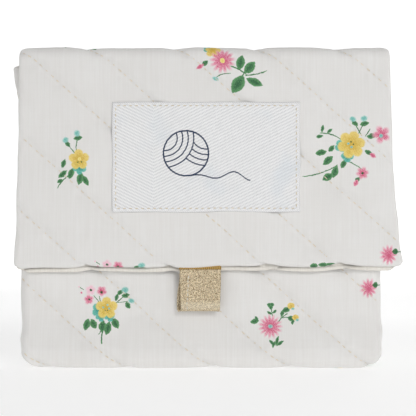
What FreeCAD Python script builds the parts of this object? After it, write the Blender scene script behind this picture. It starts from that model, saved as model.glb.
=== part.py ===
import FreeCAD, Part
import math
import os

# A small quilted envelope pouch, standing on its bottom fold.
# +X is the width, -Y is the front, +Z is up. The origin is under the middle of the pouch.
# One long quilted strip is folded to make it: front panel, bottom fold, back panel, top fold
# and flap. Every stretch of it has three layers: printed cloth, wadding and plain lining.

# ---------------------------------------------------------------- layers of the quilted strip
cloth = 0.7
wadding = 2.6
lining = 0.7
quilt = cloth + wadding + lining
edge_round = 2.4
base_round = 1.0
fold_bulge = 4.5
wadding_ease = 0.2
mitre_gap = 0.15

# ---------------------------------------------------------------- height
height = 129.6
mouth_room = 2.8
fold_height = 5.0
hem_height = 40.8

# ---------------------------------------------------------------- width, left and right of x = 0
body_left = -76.6
body_right = 71.0
top_left = -76.0
top_right = 73.2
hem_left = -78.6
hem_right = 79.0
flap_side_bow = 1.3
mouth_flare = 2.4
flare_length = 26.8
bottom_corner = 5.0
mouth_corner = 2.5
hem_corner = 3.2
seam_width = 6.0

# ---------------------------------------------------------------- depth
pocket_depth = 8.0
flap_gap = 0.8
thread_height = 0.3
label_thickness = 0.6
label_stitch_height = 0.25

# ---------------------------------------------------------------- quilting thread
quilt_angle = 42.0
quilt_pitch = 21.6
thread_width = 0.6
flap_line_x = 24.9
front_line_x = 21.2
thread_margin = 3.5

# ---------------------------------------------------------------- woven label
label_width = 75.2
label_height = 44.0
label_centre = -0.8
label_stitch_inset = 1.5
label_stitch_width = 0.5

# ---------------------------------------------------------------- leather pull tab
tab_centre = -3.2
tab_width = 16.8
leather = 0.7
tab_drop = 17.0
tab_loop_radius = 1.75
tab_lean_back = 0.35
tab_clearance = 0.4
tab_pressed_length = 3.0
tab_stitch_inset = 3.8
tab_stitch_start = 1.0
tab_seam_bite = 6.0
lip_drop = 1.6
lip_clearance = 0.3
lip_round = 0.7

# ---------------------------------------------------------------- magnetic snap
snap_above_hem = 15.2
snap_radius = 7.0
snap_fit = 0.2
snap_gap = 0.5
plate_thickness = 0.8
stud_radius = 2.5
stud_length = 1.6
bore_radius = 3.0
case_depth = 1.9
case_wall = 0.4
base_thickness = 0.4
magnet_fit = 0.1
washer_radius = 8.0
washer_thickness = 0.5
prong_width = 4.0
prong_thickness = 0.6
prong_offset = 3.2

# ---------------------------------------------------------------- places worked out from these
depth = (
    label_stitch_height + label_thickness + quilt + flap_gap
    + quilt + pocket_depth + quilt + thread_height
)
flap_front = -depth / 2 + label_stitch_height + label_thickness
flap_back = flap_front + quilt
front_outer = flap_back + flap_gap
front_inner = front_outer + quilt
back_inner = front_inner + pocket_depth
back_outer = back_inner + quilt
mouth_height = height - quilt - mouth_room
flare_height = mouth_height - flare_length
label_left = label_centre - label_width / 2
label_right = label_centre + label_width / 2
label_bottom = (height + hem_height - label_height) / 2
label_top = label_bottom + label_height
far = 300.0


def save(name, *shapes):
    """Write one node: a single solid, or a group of separate solids."""
    solids = [solid for shape in shapes for solid in shape.Solids]
    whole = solids[0] if len(solids) == 1 else Part.makeCompound(solids)
    whole.exportStep("parts/" + name + ".step")
    box = whole.BoundBox
    sizes = tuple(round(v, 1) for v in (box.XLength, box.YLength, box.ZLength))
    print(name, "solids", len(solids), "valid", whole.isValid(), "size", sizes)


def box(x0, x1, y0, y1, z0, z1):
    """A block between two opposite corners."""
    return Part.makeBox(x1 - x0, y1 - y0, z1 - z0, FreeCAD.Vector(x0, y0, z0))


def side_profile(points):
    """A prism right across the width, from a polygon of (y, z) points."""
    corners = [FreeCAD.Vector(-far / 2, y, z) for y, z in points]
    face = Part.Face(Part.makePolygon(corners + corners[:1]))
    return face.extrude(FreeCAD.Vector(far, 0, 0))


def disc(y0, y1, radius, x, z):
    """A disc or cylinder that lies along Y, from y0 to y1."""
    return Part.makeCylinder(radius, y1 - y0, FreeCAD.Vector(x, y0, z), FreeCAD.Vector(0, 1, 0))


def front_prism(edges, y0, y1):
    """A slab from a front-view outline at y = 0, between two depths."""
    face = Part.Face(Part.Wire(edges))
    face.translate(FreeCAD.Vector(0, y0, 0))
    return face.extrude(FreeCAD.Vector(0, y1 - y0, 0))


def at(x, z):
    """A point of a front-view outline."""
    return FreeCAD.Vector(x, 0, z)


def line(start, end):
    return Part.LineSegment(start, end).toShape()


def arc(start, middle, end):
    return Part.Arc(start, middle, end).toShape()


def corner_arc(start, corner, end, radius):
    """A round corner: the arc's middle is pulled from the corner towards the chord."""
    pull = 2 - math.sqrt(2)
    middle = corner + ((start + end) * 0.5 - corner) * pull
    return arc(start, middle, end)


def mouth_outline(inset):
    """The front panel: straight sides that flare at the mouth, whose two corners are round."""
    left = body_left + inset
    right = body_right - inset
    flare_left = left - mouth_flare
    flare_right = right + mouth_flare
    top = mouth_height - inset
    r = mouth_corner - inset
    p = [
        at(left, fold_height),
        at(right, fold_height),
        at(right, flare_height),
        at(flare_right, top - r),
        at(flare_right - r, top),
        at(flare_left + r, top),
        at(flare_left, top - r),
        at(left, flare_height),
    ]
    return [
        line(p[0], p[1]),
        line(p[1], p[2]),
        line(p[2], p[3]),
        corner_arc(p[3], at(flare_right, top), p[4], r),
        line(p[4], p[5]),
        corner_arc(p[5], at(flare_left, top), p[6], r),
        line(p[6], p[7]),
        line(p[7], p[0]),
    ]


def back_outline(inset):
    """The back panel: its sides run from the body's width to the top fold's width."""
    p = [
        at(body_left + inset, fold_height),
        at(body_right - inset, fold_height),
        at(top_right - inset, height),
        at(top_left + inset, height),
    ]
    return [line(p[i], p[(i + 1) % 4]) for i in range(4)]


def flap_outline(inset):
    """The flap: wider at the hem, its right side bent in half-way, its two hem corners round."""
    left = hem_left + inset
    right = hem_right - inset
    low = hem_height + inset
    r = hem_corner - inset
    p = [
        at(top_left + inset, height),
        at(left, low + r),
        at(left + r, low),
        at(right - r, low),
        at(right, low + r),
        at((top_right + hem_right) / 2 - flap_side_bow - inset, (height + hem_height) / 2),
        at(top_right - inset, height),
    ]
    return [
        line(p[0], p[1]),
        corner_arc(p[1], at(left, low), p[2], r),
        line(p[2], p[3]),
        corner_arc(p[3], at(right, low), p[4], r),
        line(p[4], p[5]),
        line(p[5], p[6]),
        line(p[6], p[0]),
    ]


def round_face_edges(slab, y, radius, skip_height):
    """Round the edges of a slab's face at y, all but the one that carries on round a fold."""
    edges = []
    for edge in slab.Edges:
        ends = [vertex.Point for vertex in edge.Vertexes]
        on_face = all(abs(point.y - y) < 1e-6 for point in ends)
        skipped = all(abs(point.z - skip_height) < 1e-6 for point in ends)
        if on_face and not skipped:
            edges.append(edge)
    return slab.makeFillet(radius, edges)


def quilted_panel(outline, outer, inner, skip_height):
    """Cloth, wadding and lining of a flat panel. The cloth wraps the wadding's edges."""
    way = 1 if inner > outer else -1
    seat = outer + way * cloth
    lining_face = inner - way * lining
    block = front_prism(outline(0), outer, lining_face)
    block = round_face_edges(block, outer, edge_round, skip_height)
    room = front_prism(outline(cloth), seat, lining_face)
    filling = round_face_edges(room, seat, edge_round - cloth + wadding_ease, skip_height)
    room = round_face_edges(room, seat, edge_round - cloth, skip_height)
    return block.cut(room), filling, front_prism(outline(0), lining_face, inner)


def hood(inset):
    """The space under the top fold, from flap to back, with its two top edges rounded."""
    block = box(
        -far / 2, far / 2,
        flap_front + inset, back_outer - inset,
        -far / 2, height - inset,
    )
    edges = [
        edge for edge in block.Edges
        if all(abs(vertex.Z - (height - inset)) < 1e-6 for vertex in edge.Vertexes)
        and abs(edge.Vertexes[0].X - edge.Vertexes[1].X) > 1
    ]
    return block.makeFillet(quilt + 0.5 - inset, edges)


def mitre_front(shift):
    """(y, z) points down the 45 degree line where top fold and flap meet."""
    return (flap_front + shift - 9, height + 9), (flap_front + shift + 9, height - 9)


def mitre_back(shift):
    """(y, z) points down the 45 degree line where top fold and back panel meet."""
    return (back_outer - shift + 9, height + 9), (back_outer - shift - 9, height - 9)


def under_front_mitre():
    high, low = mitre_front(-mitre_gap)
    return side_profile([high, low, (low[0], -9), (high[0], -9)])


def under_back_mitre():
    high, low = mitre_back(-mitre_gap)
    return side_profile([high, low, (low[0], -9), (high[0], -9)])


def over_mitres():
    front_high, front_low = mitre_front(mitre_gap)
    back_high, back_low = mitre_back(mitre_gap)
    return side_profile([front_high, back_high, back_low, front_low])


def thread_bars(middle_x, middle_z, lean):
    """Parallel quilting threads in the XZ plane, as thin square bars that cross the panel.
    Lean is 1 where they fall towards +X, and -1 where they rise."""
    bars = []
    step = quilt_pitch / math.sin(math.radians(quilt_angle))
    for number in range(-8, 9):
        bar = box(-far / 2, far / 2, 0, thread_height, -thread_width / 2, thread_width / 2)
        bar.rotate(FreeCAD.Vector(0, 0, 0), FreeCAD.Vector(0, 1, 0), lean * quilt_angle)
        bar.translate(FreeCAD.Vector(middle_x + number * step, 0, middle_z))
        bars.append(bar)
    return Part.makeCompound(bars)


# ---------------------------------------------------------------- snap, both halves
snap_x = tab_centre
snap_height = hem_height + snap_above_hem
plate_y = flap_back - plate_thickness
case_y = flap_back + snap_gap
base_y = case_y + case_depth
flap_washer_y = flap_front + cloth + 0.1
front_washer_y = front_inner - lining - washer_thickness - 0.1


def prongs(y0, y1):
    """The two flat legs that hold a snap half to its washer."""
    return [
        box(
            snap_x + side * prong_offset - prong_thickness / 2,
            snap_x + side * prong_offset + prong_thickness / 2,
            y0, y1,
            snap_height - prong_width / 2, snap_height + prong_width / 2,
        )
        for side in (-1, 1)
    ]


def washer(y):
    """A thin disc behind the cloth, with a slot for each prong."""
    plate = disc(y, y + washer_thickness, washer_radius, snap_x, snap_height)
    return plate.cut(Part.makeCompound(prongs(y - 1, y + washer_thickness + 1)))


def washer_room(y):
    """The room that a washer takes in the wadding."""
    return disc(y, y + washer_thickness, washer_radius + snap_fit, snap_x, snap_height)


stud_plate = disc(plate_y, flap_back, snap_radius, snap_x, snap_height)
stud = disc(flap_back, flap_back + stud_length, stud_radius, snap_x, snap_height)
stud_tip = [edge for edge in stud.Edges if abs(edge.BoundBox.YMin - flap_back - stud_length) < 1e-3]
stud = stud.makeFillet(0.6, stud_tip[:1])
stud_legs = prongs(flap_washer_y, plate_y)
snap_stud = stud_plate.fuse([stud] + stud_legs).removeSplitter()

case = disc(case_y, base_y, snap_radius, snap_x, snap_height)
magnet_room = disc(
    case_y + case_wall, base_y, snap_radius - case_wall, snap_x, snap_height
).cut(disc(case_y, base_y, bore_radius + case_wall, snap_x, snap_height))
snap_case = case.cut(magnet_room).cut(disc(case_y, base_y, bore_radius, snap_x, snap_height))
snap_magnet = disc(
    case_y + case_wall + magnet_fit, base_y - magnet_fit,
    snap_radius - case_wall - magnet_fit, snap_x, snap_height,
).cut(disc(case_y, base_y, bore_radius + case_wall + magnet_fit, snap_x, snap_height))
base_plate = disc(base_y, base_y + base_thickness, snap_radius, snap_x, snap_height)
base_legs = prongs(base_y + base_thickness, front_washer_y + washer_thickness)
snap_base = base_plate.fuse(base_legs).removeSplitter()

flap_room = disc(plate_y, flap_back, snap_radius + snap_fit, snap_x, snap_height).fuse(
    [washer_room(flap_washer_y)] + stud_legs
)
front_room = disc(
    front_outer - 1, base_y + base_thickness, snap_radius + snap_fit, snap_x, snap_height
).fuse(
    [washer_room(front_washer_y)] + base_legs
)

# ---------------------------------------------------------------- pull tab
tab_left = tab_centre - tab_width / 2
tab_right = tab_centre + tab_width / 2
tab_front = flap_front + cloth
tab_back = tab_front + 2 * leather
tab_top = hem_height - tab_clearance
loop_height = tab_top - tab_drop + tab_loop_radius
tab_middle = (tab_front + tab_back) / 2
loop_middle = tab_middle + tab_lean_back
inner_radius = tab_loop_radius - leather


def loop_edges(high_front, high_back, radius):
    """Side view of the hanging loop: down the front leaf, round the bend, up the back leaf."""
    front_low = FreeCAD.Vector(tab_left, loop_middle - radius, loop_height)
    back_low = FreeCAD.Vector(tab_left, loop_middle + radius, loop_height)
    lowest = FreeCAD.Vector(tab_left, loop_middle, loop_height - radius)
    return [
        line(high_front, front_low),
        arc(front_low, lowest, back_low),
        line(back_low, high_back),
    ]


def across_tab(edges):
    """The tab's full width of a closed side view."""
    return Part.Face(Part.Wire(edges)).extrude(FreeCAD.Vector(tab_width, 0, 0))


# The two leaves are pressed together at the top, whose end is round about the hinge line.
hinge_z = tab_top - leather
top_front = FreeCAD.Vector(tab_left, tab_front, hinge_z)
top_back = FreeCAD.Vector(tab_left, tab_back, hinge_z)
top_end = FreeCAD.Vector(tab_left, tab_middle, tab_top)
pressed = FreeCAD.Vector(tab_left, tab_middle, tab_top - tab_pressed_length)
tab_outside = across_tab(
    loop_edges(top_front, top_back, tab_loop_radius) + [arc(top_back, top_end, top_front)]
)
tab_inside = across_tab(loop_edges(pressed, pressed, inner_radius))
tab_loop = tab_outside.cut(tab_inside)
tab_sewn_ends = box(
    tab_left, tab_right, tab_front, tab_back, hem_height, hem_height + tab_seam_bite
)


def front_leaf(z):
    """How far forward the loop's front leaf is at a height, as a (y, z) point."""
    share = (hinge_z - z) / (hinge_z - loop_height)
    return tab_front + share * (loop_middle - tab_loop_radius - tab_front), z


def thread_on_leaf(z_high, z_low, left):
    """A thread that lies down the front leaf between two heights."""
    high = front_leaf(z_high)
    low = front_leaf(z_low)
    proud = [(y - thread_height, z) for y, z in (low, high)]
    strip = box(left, left + thread_width, -far, far, -far, far)
    return side_profile([high, low] + proud).common(strip)


tab_stitch = thread_on_leaf(
    hinge_z - tab_stitch_start, loop_height, tab_left + tab_stitch_inset - thread_width / 2
)

# ---------------------------------------------------------------- front panel, bottom, back panel
front_cloth, front_wadding, front_lining = quilted_panel(
    mouth_outline, front_outer, front_inner, fold_height
)
back_cloth, back_wadding, back_lining = quilted_panel(
    back_outline, back_outer, back_inner, fold_height
)


# Padding bunches at a fold, so the bottom stands a little proud of the panel above it.
fold_front = front_outer - fold_bulge


def fold_block(inset):
    """The bottom fold's block: rounded along its two long lower edges and at its lower corners."""
    r = bottom_corner - inset
    left = body_left + inset
    right = body_right - inset
    p = [
        at(left, fold_height),
        at(left, inset + r),
        at(left + r, inset),
        at(right - r, inset),
        at(right, inset + r),
        at(right, fold_height),
    ]
    # Where the corner's radius is the whole height of the fold there is no straight side.
    sides = [] if p[0].z - p[1].z < 1e-6 else [line(p[0], p[1]), line(p[4], p[5])]
    outline = sides + [
        corner_arc(p[1], at(left, inset), p[2], r),
        line(p[2], p[3]),
        corner_arc(p[3], at(right, inset), p[4], r),
        line(p[5], p[0]),
    ]
    face = Part.Face(Part.Wire(Part.__sortEdges__(outline)))
    face.translate(FreeCAD.Vector(0, fold_front + inset, 0))
    slab = face.extrude(FreeCAD.Vector(0, back_outer - fold_front - 2 * inset, 0))
    boat = box(
        -far / 2, far / 2, fold_front + inset, back_outer - inset, inset, fold_height + far
    )
    low_edges = [
        edge for edge in boat.Edges
        if all(abs(vertex.Z - inset) < 1e-6 for vertex in edge.Vertexes)
        and abs(edge.Vertexes[0].X - edge.Vertexes[1].X) > 1
    ]
    return slab.common(boat.makeFillet(base_round - 0.9 * inset, low_edges))


fold_lining = box(
    body_left + seam_width, body_right - seam_width,
    front_inner, back_inner,
    fold_height - lining, fold_height,
)
fold_ledge = box(
    -far / 2, far / 2, fold_front, front_outer + cloth, fold_height - cloth, fold_height
)
fold_filling = fold_block(cloth).cut(fold_ledge)
fold_cloth = fold_block(0).cut(fold_filling)
fold_wadding = fold_filling.cut(fold_lining)

left_seam = box(
    body_left, body_left + seam_width, front_inner, back_inner, fold_height, mouth_height
)
right_seam = box(
    body_right - seam_width, body_right, front_inner, back_inner, fold_height, mouth_height
)

# ---------------------------------------------------------------- top fold and flap
below_front = under_front_mitre()
below_back = under_back_mitre()
above = over_mitres()
hood_outside = hood(0)
hood_wadding = hood(cloth)
hood_lining = hood(cloth + wadding)
hood_inside = hood(quilt)

top_block = box(top_left, top_right, flap_front, back_outer, height - 9, height)
top_filling = box(top_left + cloth, top_right - cloth, flap_front, back_outer, height - 9, height)
top_wadding = hood_wadding.cut(hood_lining).common(top_filling).common(above)
top_cloth = hood_outside.cut(hood_lining).common(top_block).common(above).cut(top_wadding)
top_lining = hood_lining.cut(hood_inside).common(top_block).common(above)

back_cloth = back_cloth.common(hood_outside).common(below_back)
back_wadding = back_wadding.common(hood_wadding).common(below_back)
back_lining = back_lining.common(hood_lining).common(below_back)

flap_cloth, flap_wadding, flap_lining = quilted_panel(
    flap_outline, flap_front, flap_back, height
)
flap_cloth = flap_cloth.common(hood_outside).common(below_front)
flap_wadding = flap_wadding.common(hood_wadding).common(below_front)
flap_lining = flap_lining.common(hood_lining).common(below_front)

# The lining rolls out below the hem as a thin lip.
lip_front = tab_back + lip_clearance
lip = box(
    hem_left + hem_corner, hem_right - hem_corner,
    lip_front, flap_back,
    hem_height - lip_drop, hem_height,
)
lip_edges = [
    edge for edge in lip.Edges
    if all(abs(vertex.Z - hem_height + lip_drop) < 1e-6 for vertex in edge.Vertexes)
    and abs(edge.Vertexes[0].X - edge.Vertexes[1].X) > 1
]
# A thin lip has room for less than its full round.
lip = lip.makeFillet(min(lip_round, 0.4 * (flap_back - lip_front)), lip_edges)
flap_lining = flap_lining.fuse(lip).removeSplitter()

# ---------------------------------------------------------------- label
label = box(
    label_left, label_right, flap_front - label_thickness, flap_front, label_bottom, label_top
)


def label_stitch_bar(x0, x1, z0, z1):
    """One side of the running stitch, on the label's face."""
    face = flap_front - label_thickness
    return box(x0, x1, face - label_stitch_height, face, z0, z1)


stitch_left = label_left + label_stitch_inset
stitch_right = label_right - label_stitch_inset
stitch_bottom = label_bottom + label_stitch_inset
stitch_top = label_top - label_stitch_inset
w = label_stitch_width
label_stitches = [
    label_stitch_bar(stitch_left, stitch_right, stitch_top - w, stitch_top),
    label_stitch_bar(stitch_left, stitch_right, stitch_bottom, stitch_bottom + w),
    label_stitch_bar(stitch_left, stitch_left + w, stitch_bottom + w, stitch_top - w),
    label_stitch_bar(stitch_right - w, stitch_right, stitch_bottom + w, stitch_top - w),
]

# ---------------------------------------------------------------- quilting thread on each face
label_clear = box(
    label_left - 0.5, label_right + 0.5, -far / 2, far / 2, label_bottom - 0.5, label_top + 0.5
)
snap_clear = disc(-far / 2, far / 2, snap_radius + 1, snap_x, snap_height)


def panel_thread(outline, bars, face, way, low, high):
    """Bars laid on a panel's face, ending inside its rounded edges."""
    bars = bars.copy()
    bars.translate(FreeCAD.Vector(0, face if way > 0 else face - thread_height, 0))
    window = front_prism(outline(thread_margin), -far / 2, far / 2)
    window = window.common(box(-far / 2, far / 2, -far / 2, far / 2, low, high))
    return bars.common(window)


def thread_outline(outline, low_corner):
    """The same outline, but never with a corner radius below its inset."""
    def inner(inset):
        return outline(min(inset, low_corner))
    return inner


flap_thread = panel_thread(
    thread_outline(flap_outline, hem_corner - 0.5),
    thread_bars(flap_line_x, height, 1), flap_front, -1, hem_height + 4, height - quilt - 1,
).cut(label_clear)
front_thread = panel_thread(
    thread_outline(mouth_outline, mouth_corner - 0.5),
    thread_bars(front_line_x, hem_height, 1), front_outer, -1, fold_height + 1, mouth_height - 4,
).cut(snap_clear)
# Over the top fold the lines run on, so on the back they rise towards +X.
top_run = back_outer - flap_front
back_line_x = flap_line_x - top_run / math.tan(math.radians(quilt_angle))
back_thread = panel_thread(
    back_outline, thread_bars(back_line_x, height, -1), back_outer, 1,
    fold_height + 1, height - quilt - 1,
)
top_bars = thread_bars(flap_line_x, 0, 1)
top_bars.rotate(FreeCAD.Vector(0, 0, 0), FreeCAD.Vector(1, 0, 0), -90)
top_bars.translate(FreeCAD.Vector(0, flap_front, height + thread_height))
top_window = box(
    top_left + thread_margin, top_right - thread_margin,
    flap_front + quilt + 1, back_outer - quilt - 1,
    height - 1, height + 1,
)
top_thread = top_bars.common(top_window)

# ---------------------------------------------------------------- write the nodes
os.makedirs("parts", exist_ok=True)
save("front_panel_cloth", front_cloth.cut(front_room))
save("front_panel_wadding", front_wadding.cut(front_room))
save("front_panel_lining", front_lining)
save("bottom_fold_cloth", fold_cloth)
save("bottom_fold_wadding", fold_wadding)
save("bottom_fold_lining", fold_lining)
save("back_panel_cloth", back_cloth)
save("back_panel_wadding", back_wadding)
save("back_panel_lining", back_lining)
save("left_side_seam", left_seam)
save("right_side_seam", right_seam)
save("front_quilting_thread", front_thread)
save("back_quilting_thread", back_thread)
save("snap_socket_case", snap_case)
save("snap_socket_magnet", snap_magnet)
save("snap_socket_base", snap_base)
save("snap_socket_washer", washer(front_washer_y))
save("top_fold_cloth", top_cloth)
save("top_fold_wadding", top_wadding)
save("top_fold_lining", top_lining)
save("top_fold_quilting_thread", top_thread)
save("flap_cloth", flap_cloth.cut(tab_sewn_ends))
save("flap_wadding", flap_wadding.cut(flap_room).cut(tab_sewn_ends))
save("flap_lining", flap_lining.cut(flap_room))
save("flap_quilting_thread", flap_thread)
save("label", label)
save("label_stitching", *label_stitches)
save("snap_stud", snap_stud)
save("snap_stud_washer", washer(flap_washer_y))
save("pull_tab_sewn_ends", tab_sewn_ends)
save("pull_tab_loop", tab_loop)
save("pull_tab_stitching", tab_stitch)
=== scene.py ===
# %% [markdown]
# # A quilted knitting pouch, rebuilt as a lesson
#
# The pouch is one long strip of quilted cotton, folded under at the bottom and over at the top.
# Its flap comes down over the front, with a woven label and a gold leather pull tab.
# The CAD model gives every place and every hinge. This file gives the looks: soft padding, seams,
# stitches, a printed cotton and the other finishes.
#
# The first cell loads the CAD model, which is the fixed frame for all that follows.

# %% Load the frame
import math

import bpy
import numpy as np
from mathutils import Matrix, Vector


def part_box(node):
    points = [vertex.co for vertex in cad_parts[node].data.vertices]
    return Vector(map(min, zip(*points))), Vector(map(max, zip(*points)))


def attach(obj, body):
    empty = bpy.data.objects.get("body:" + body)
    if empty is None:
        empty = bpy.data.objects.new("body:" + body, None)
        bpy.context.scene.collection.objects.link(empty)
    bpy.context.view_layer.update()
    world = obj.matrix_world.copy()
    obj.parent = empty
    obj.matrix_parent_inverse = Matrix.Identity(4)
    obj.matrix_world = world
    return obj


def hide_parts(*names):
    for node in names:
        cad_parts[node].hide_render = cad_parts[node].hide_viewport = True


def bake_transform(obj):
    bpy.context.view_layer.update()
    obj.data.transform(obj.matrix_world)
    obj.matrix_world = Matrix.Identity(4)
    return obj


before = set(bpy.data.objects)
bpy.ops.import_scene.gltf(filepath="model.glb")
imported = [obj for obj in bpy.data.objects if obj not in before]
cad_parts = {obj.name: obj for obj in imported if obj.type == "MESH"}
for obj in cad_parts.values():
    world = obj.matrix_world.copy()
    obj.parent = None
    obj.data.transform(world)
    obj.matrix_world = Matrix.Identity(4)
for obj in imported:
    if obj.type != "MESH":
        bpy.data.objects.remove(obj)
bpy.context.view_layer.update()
MM = 0.001

# %% [markdown]
# ## Places from the CAD
#
# Every piece goes where the CAD says. `ends` reads a node's lowest and highest corners in
# millimetres, and the names below are the few planes that the cloth is built from.
# Reading them keeps the looks and the mechanism together if the CAD is ever changed.

# %% Planes and edges
def ends(node):
    """The lowest and highest corner of a CAD node, in millimetres."""
    low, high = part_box(node)
    return np.array(low) / MM, np.array(high) / MM


top_low, top_high = ends("top_fold_cloth")
flap_low, flap_high = ends("flap_cloth")
lip_low, lip_high = ends("flap_lining")
front_low, front_high = ends("front_panel_cloth")
base_low, base_high = ends("bottom_fold_cloth")
pocket_front = ends("front_panel_lining")[1][1]
pocket_back = ends("back_panel_lining")[0][1]
top_z, hem_z, lip_z, mouth_z = top_high[2], flap_low[2], lip_low[2], front_high[2]
flap_face, flap_inside = flap_low[1], lip_high[1]
panel_face, back_face = front_low[1], ends("back_panel_cloth")[1][1]
quilt = pocket_front - panel_face
inner_top = top_z - quilt
split_y = (flap_face + back_face) / 2
seam_y = (pocket_front + pocket_back) / 2
print(f"quilt {quilt:.1f} mm thick, flap {top_z - hem_z:.1f} mm long")

# %% [markdown]
# ## Camera
#
# The pouch is seen square on from the front. The lens is long, and it looks along +Y at half the
# pouch's height.

# %% Camera
camera_data = bpy.data.cameras.new("camera")
camera = bpy.data.objects.new("camera", camera_data)
bpy.context.scene.collection.objects.link(camera)
camera_data.lens = 100
camera_data.sensor_width = 36
view_width = 0.1664
view_middle = top_z / 2 * MM
view_distance = view_width * camera_data.lens / camera_data.sensor_width
camera.location = (0, flap_face * MM - view_distance, view_middle)
camera.rotation_euler = (math.pi / 2, 0, 0)
camera_data.clip_start = 0.01
bpy.context.scene.camera = camera
bpy.context.scene.view_settings.view_transform = "Standard"
print(f"camera {view_distance:.3f} m from the flap")

# %% [markdown]
# ## Turning numpy arrays into meshes
#
# A surface worked out as a grid of points needs only a list of its four-sided faces. The helper
# makes the faces for a whole grid at once. `thick_grid` then gives the grid a thickness: the same
# grid moved inwards, and a strip of faces round the border, so that the mesh is a closed body.

# %% Mesh helpers
def grid_faces(rows, columns, flip=False):
    """Four corners of each cell of a grid whose points are numbered row by row."""
    first = (np.arange(rows - 1)[:, None] * columns + np.arange(columns - 1)).ravel()
    quads = np.stack([first, first + 1, first + columns + 1, first + columns], 1)
    return quads[:, ::-1] if flip else quads


def new_piece(name, points, faces, material, smooth=True):
    """A mesh object with its points in millimetres, at the origin."""
    mesh = bpy.data.meshes.new(name)
    mesh.from_pydata((np.asarray(points) * MM).tolist(), [], np.asarray(faces).tolist())
    mesh.polygons.foreach_set("use_smooth", [smooth] * len(mesh.polygons))
    mesh.materials.append(material)
    mesh.update()
    piece = bpy.data.objects.new(name, mesh)
    bpy.context.scene.collection.objects.link(piece)
    return piece


def corner_uv(piece, name, values):
    """Stores one (u, v) pair per mesh point as a UV map."""
    mesh = piece.data
    layer = mesh.uv_layers.new(name=name)
    corners = np.zeros(len(mesh.loops), int)
    mesh.loops.foreach_get("vertex_index", corners)
    layer.data.foreach_set("uv", np.asarray(values, float)[corners].ravel())


def grid_normals(points):
    """The unit normal at each point of a grid: down the rows crossed with along the columns."""
    down = np.gradient(points, axis=0)
    along = np.gradient(points, axis=1)
    normal = np.cross(down, along)
    return normal / np.maximum(np.linalg.norm(normal, axis=2, keepdims=True), 1e-9)


def thick_grid(name, points, uv, thickness, material, flip=False):
    """A closed body from a grid: outer face, inner face moved in by the thickness, and a border."""
    rows, columns = points.shape[:2]
    normal = grid_normals(points) * (-1 if flip else 1)
    inner = points - normal * thickness
    count = rows * columns
    number = np.arange(count).reshape(rows, columns)
    border = np.concatenate([
        number[0, :-1], number[:-1, -1], number[-1, :0:-1], number[:0:-1, 0]
    ])
    after = np.roll(border, -1)
    wall = np.stack([border, after, after + count, border + count], 1)
    outside = grid_faces(rows, columns, flip=not flip)
    faces = np.concatenate([outside, outside[:, ::-1] + count, wall if not flip else wall[:, ::-1]])
    piece = new_piece(name, np.concatenate([points.reshape(-1, 3), inner.reshape(-1, 3)]), faces, material)
    corner_uv(piece, "cloth", np.concatenate([uv.reshape(-1, 2)] * 2))
    return piece

# %% [markdown]
# ## One strip of cloth
#
# In side view the strip is a bent line: over the top, down the front of the flap, and, the other
# way, down the back, under the bottom and up the front panel. `rounded_path` walks straight runs
# and the arcs between them. Each strip then keeps, for every point of that line, where the cloth
# is, which way is out, and where the cloth comes together at the side seam.
#
# The cloth has its own coordinates, as it would lying flat on a cutting table: `u` runs across
# and `v` along the strip. The print, the weave and the quilting all use them, so they run round
# every fold without a break.

# %% The side view of the cloth
STEP = 0.8


def smooth_step(value):
    """0 below 0, 1 above 1, and a soft S curve between them."""
    t = np.clip(value, 0, 1)
    return t * t * (3 - 2 * t)


def rounded_path(corners, radii, step=STEP):
    """Straight runs joined by arcs of the given radii. Each arc starts a tangent length before its
    corner, and goes to start + r sin(a) forwards + r (1 - cos(a)) sideways."""
    corners = np.array(corners, float)
    pieces = [corners[:1]]
    for before, corner, after, radius in zip(corners[:-2], corners[1:-1], corners[2:], radii):
        arrive = (corner - before) / np.linalg.norm(corner - before)
        leave = (after - corner) / np.linalg.norm(after - corner)
        turn = math.acos(np.clip(arrive @ leave, -1, 1))
        sideways = leave - arrive * (arrive @ leave)
        sideways /= np.linalg.norm(sideways)
        start = corner - arrive * radius * math.tan(turn / 2)
        angle = np.linspace(0, turn, max(7, int(radius * turn / step) + 1))[:, None]
        run = np.linalg.norm(start - pieces[-1][-1])
        share = np.linspace(0, 1, max(2, int(run / step) + 1))[1:-1, None]
        pieces.append(pieces[-1][-1] * (1 - share) + start * share)
        pieces.append(start + radius * (np.sin(angle) * arrive + (1 - np.cos(angle)) * sideways))
    run = np.linalg.norm(corners[-1] - pieces[-1][-1])
    share = np.linspace(0, 1, max(2, int(run / step) + 1))[1:, None]
    pieces.append(pieces[-1][-1] * (1 - share) + corners[-1] * share)
    line = np.concatenate(pieces)
    gap = np.linalg.norm(np.diff(line, axis=0), axis=1)
    return line[np.concatenate([[True], gap > 1e-6])]


def path_length(line):
    """Distance walked at each point of a line."""
    return np.concatenate([[0], np.cumsum(np.linalg.norm(np.diff(line, axis=0), axis=1))])


def path_normal(line):
    """The outward direction, a quarter turn from the line's own direction."""
    ahead = np.gradient(line, path_length(line), axis=0)
    ahead /= np.linalg.norm(ahead, axis=1, keepdims=True)
    return np.stack([ahead[:, 1], -ahead[:, 0]], 1)


TOP_ROUND = 5.0
RIM_ROUND = quilt / 2
fold_face = base_low[1] + 1.3

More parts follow.
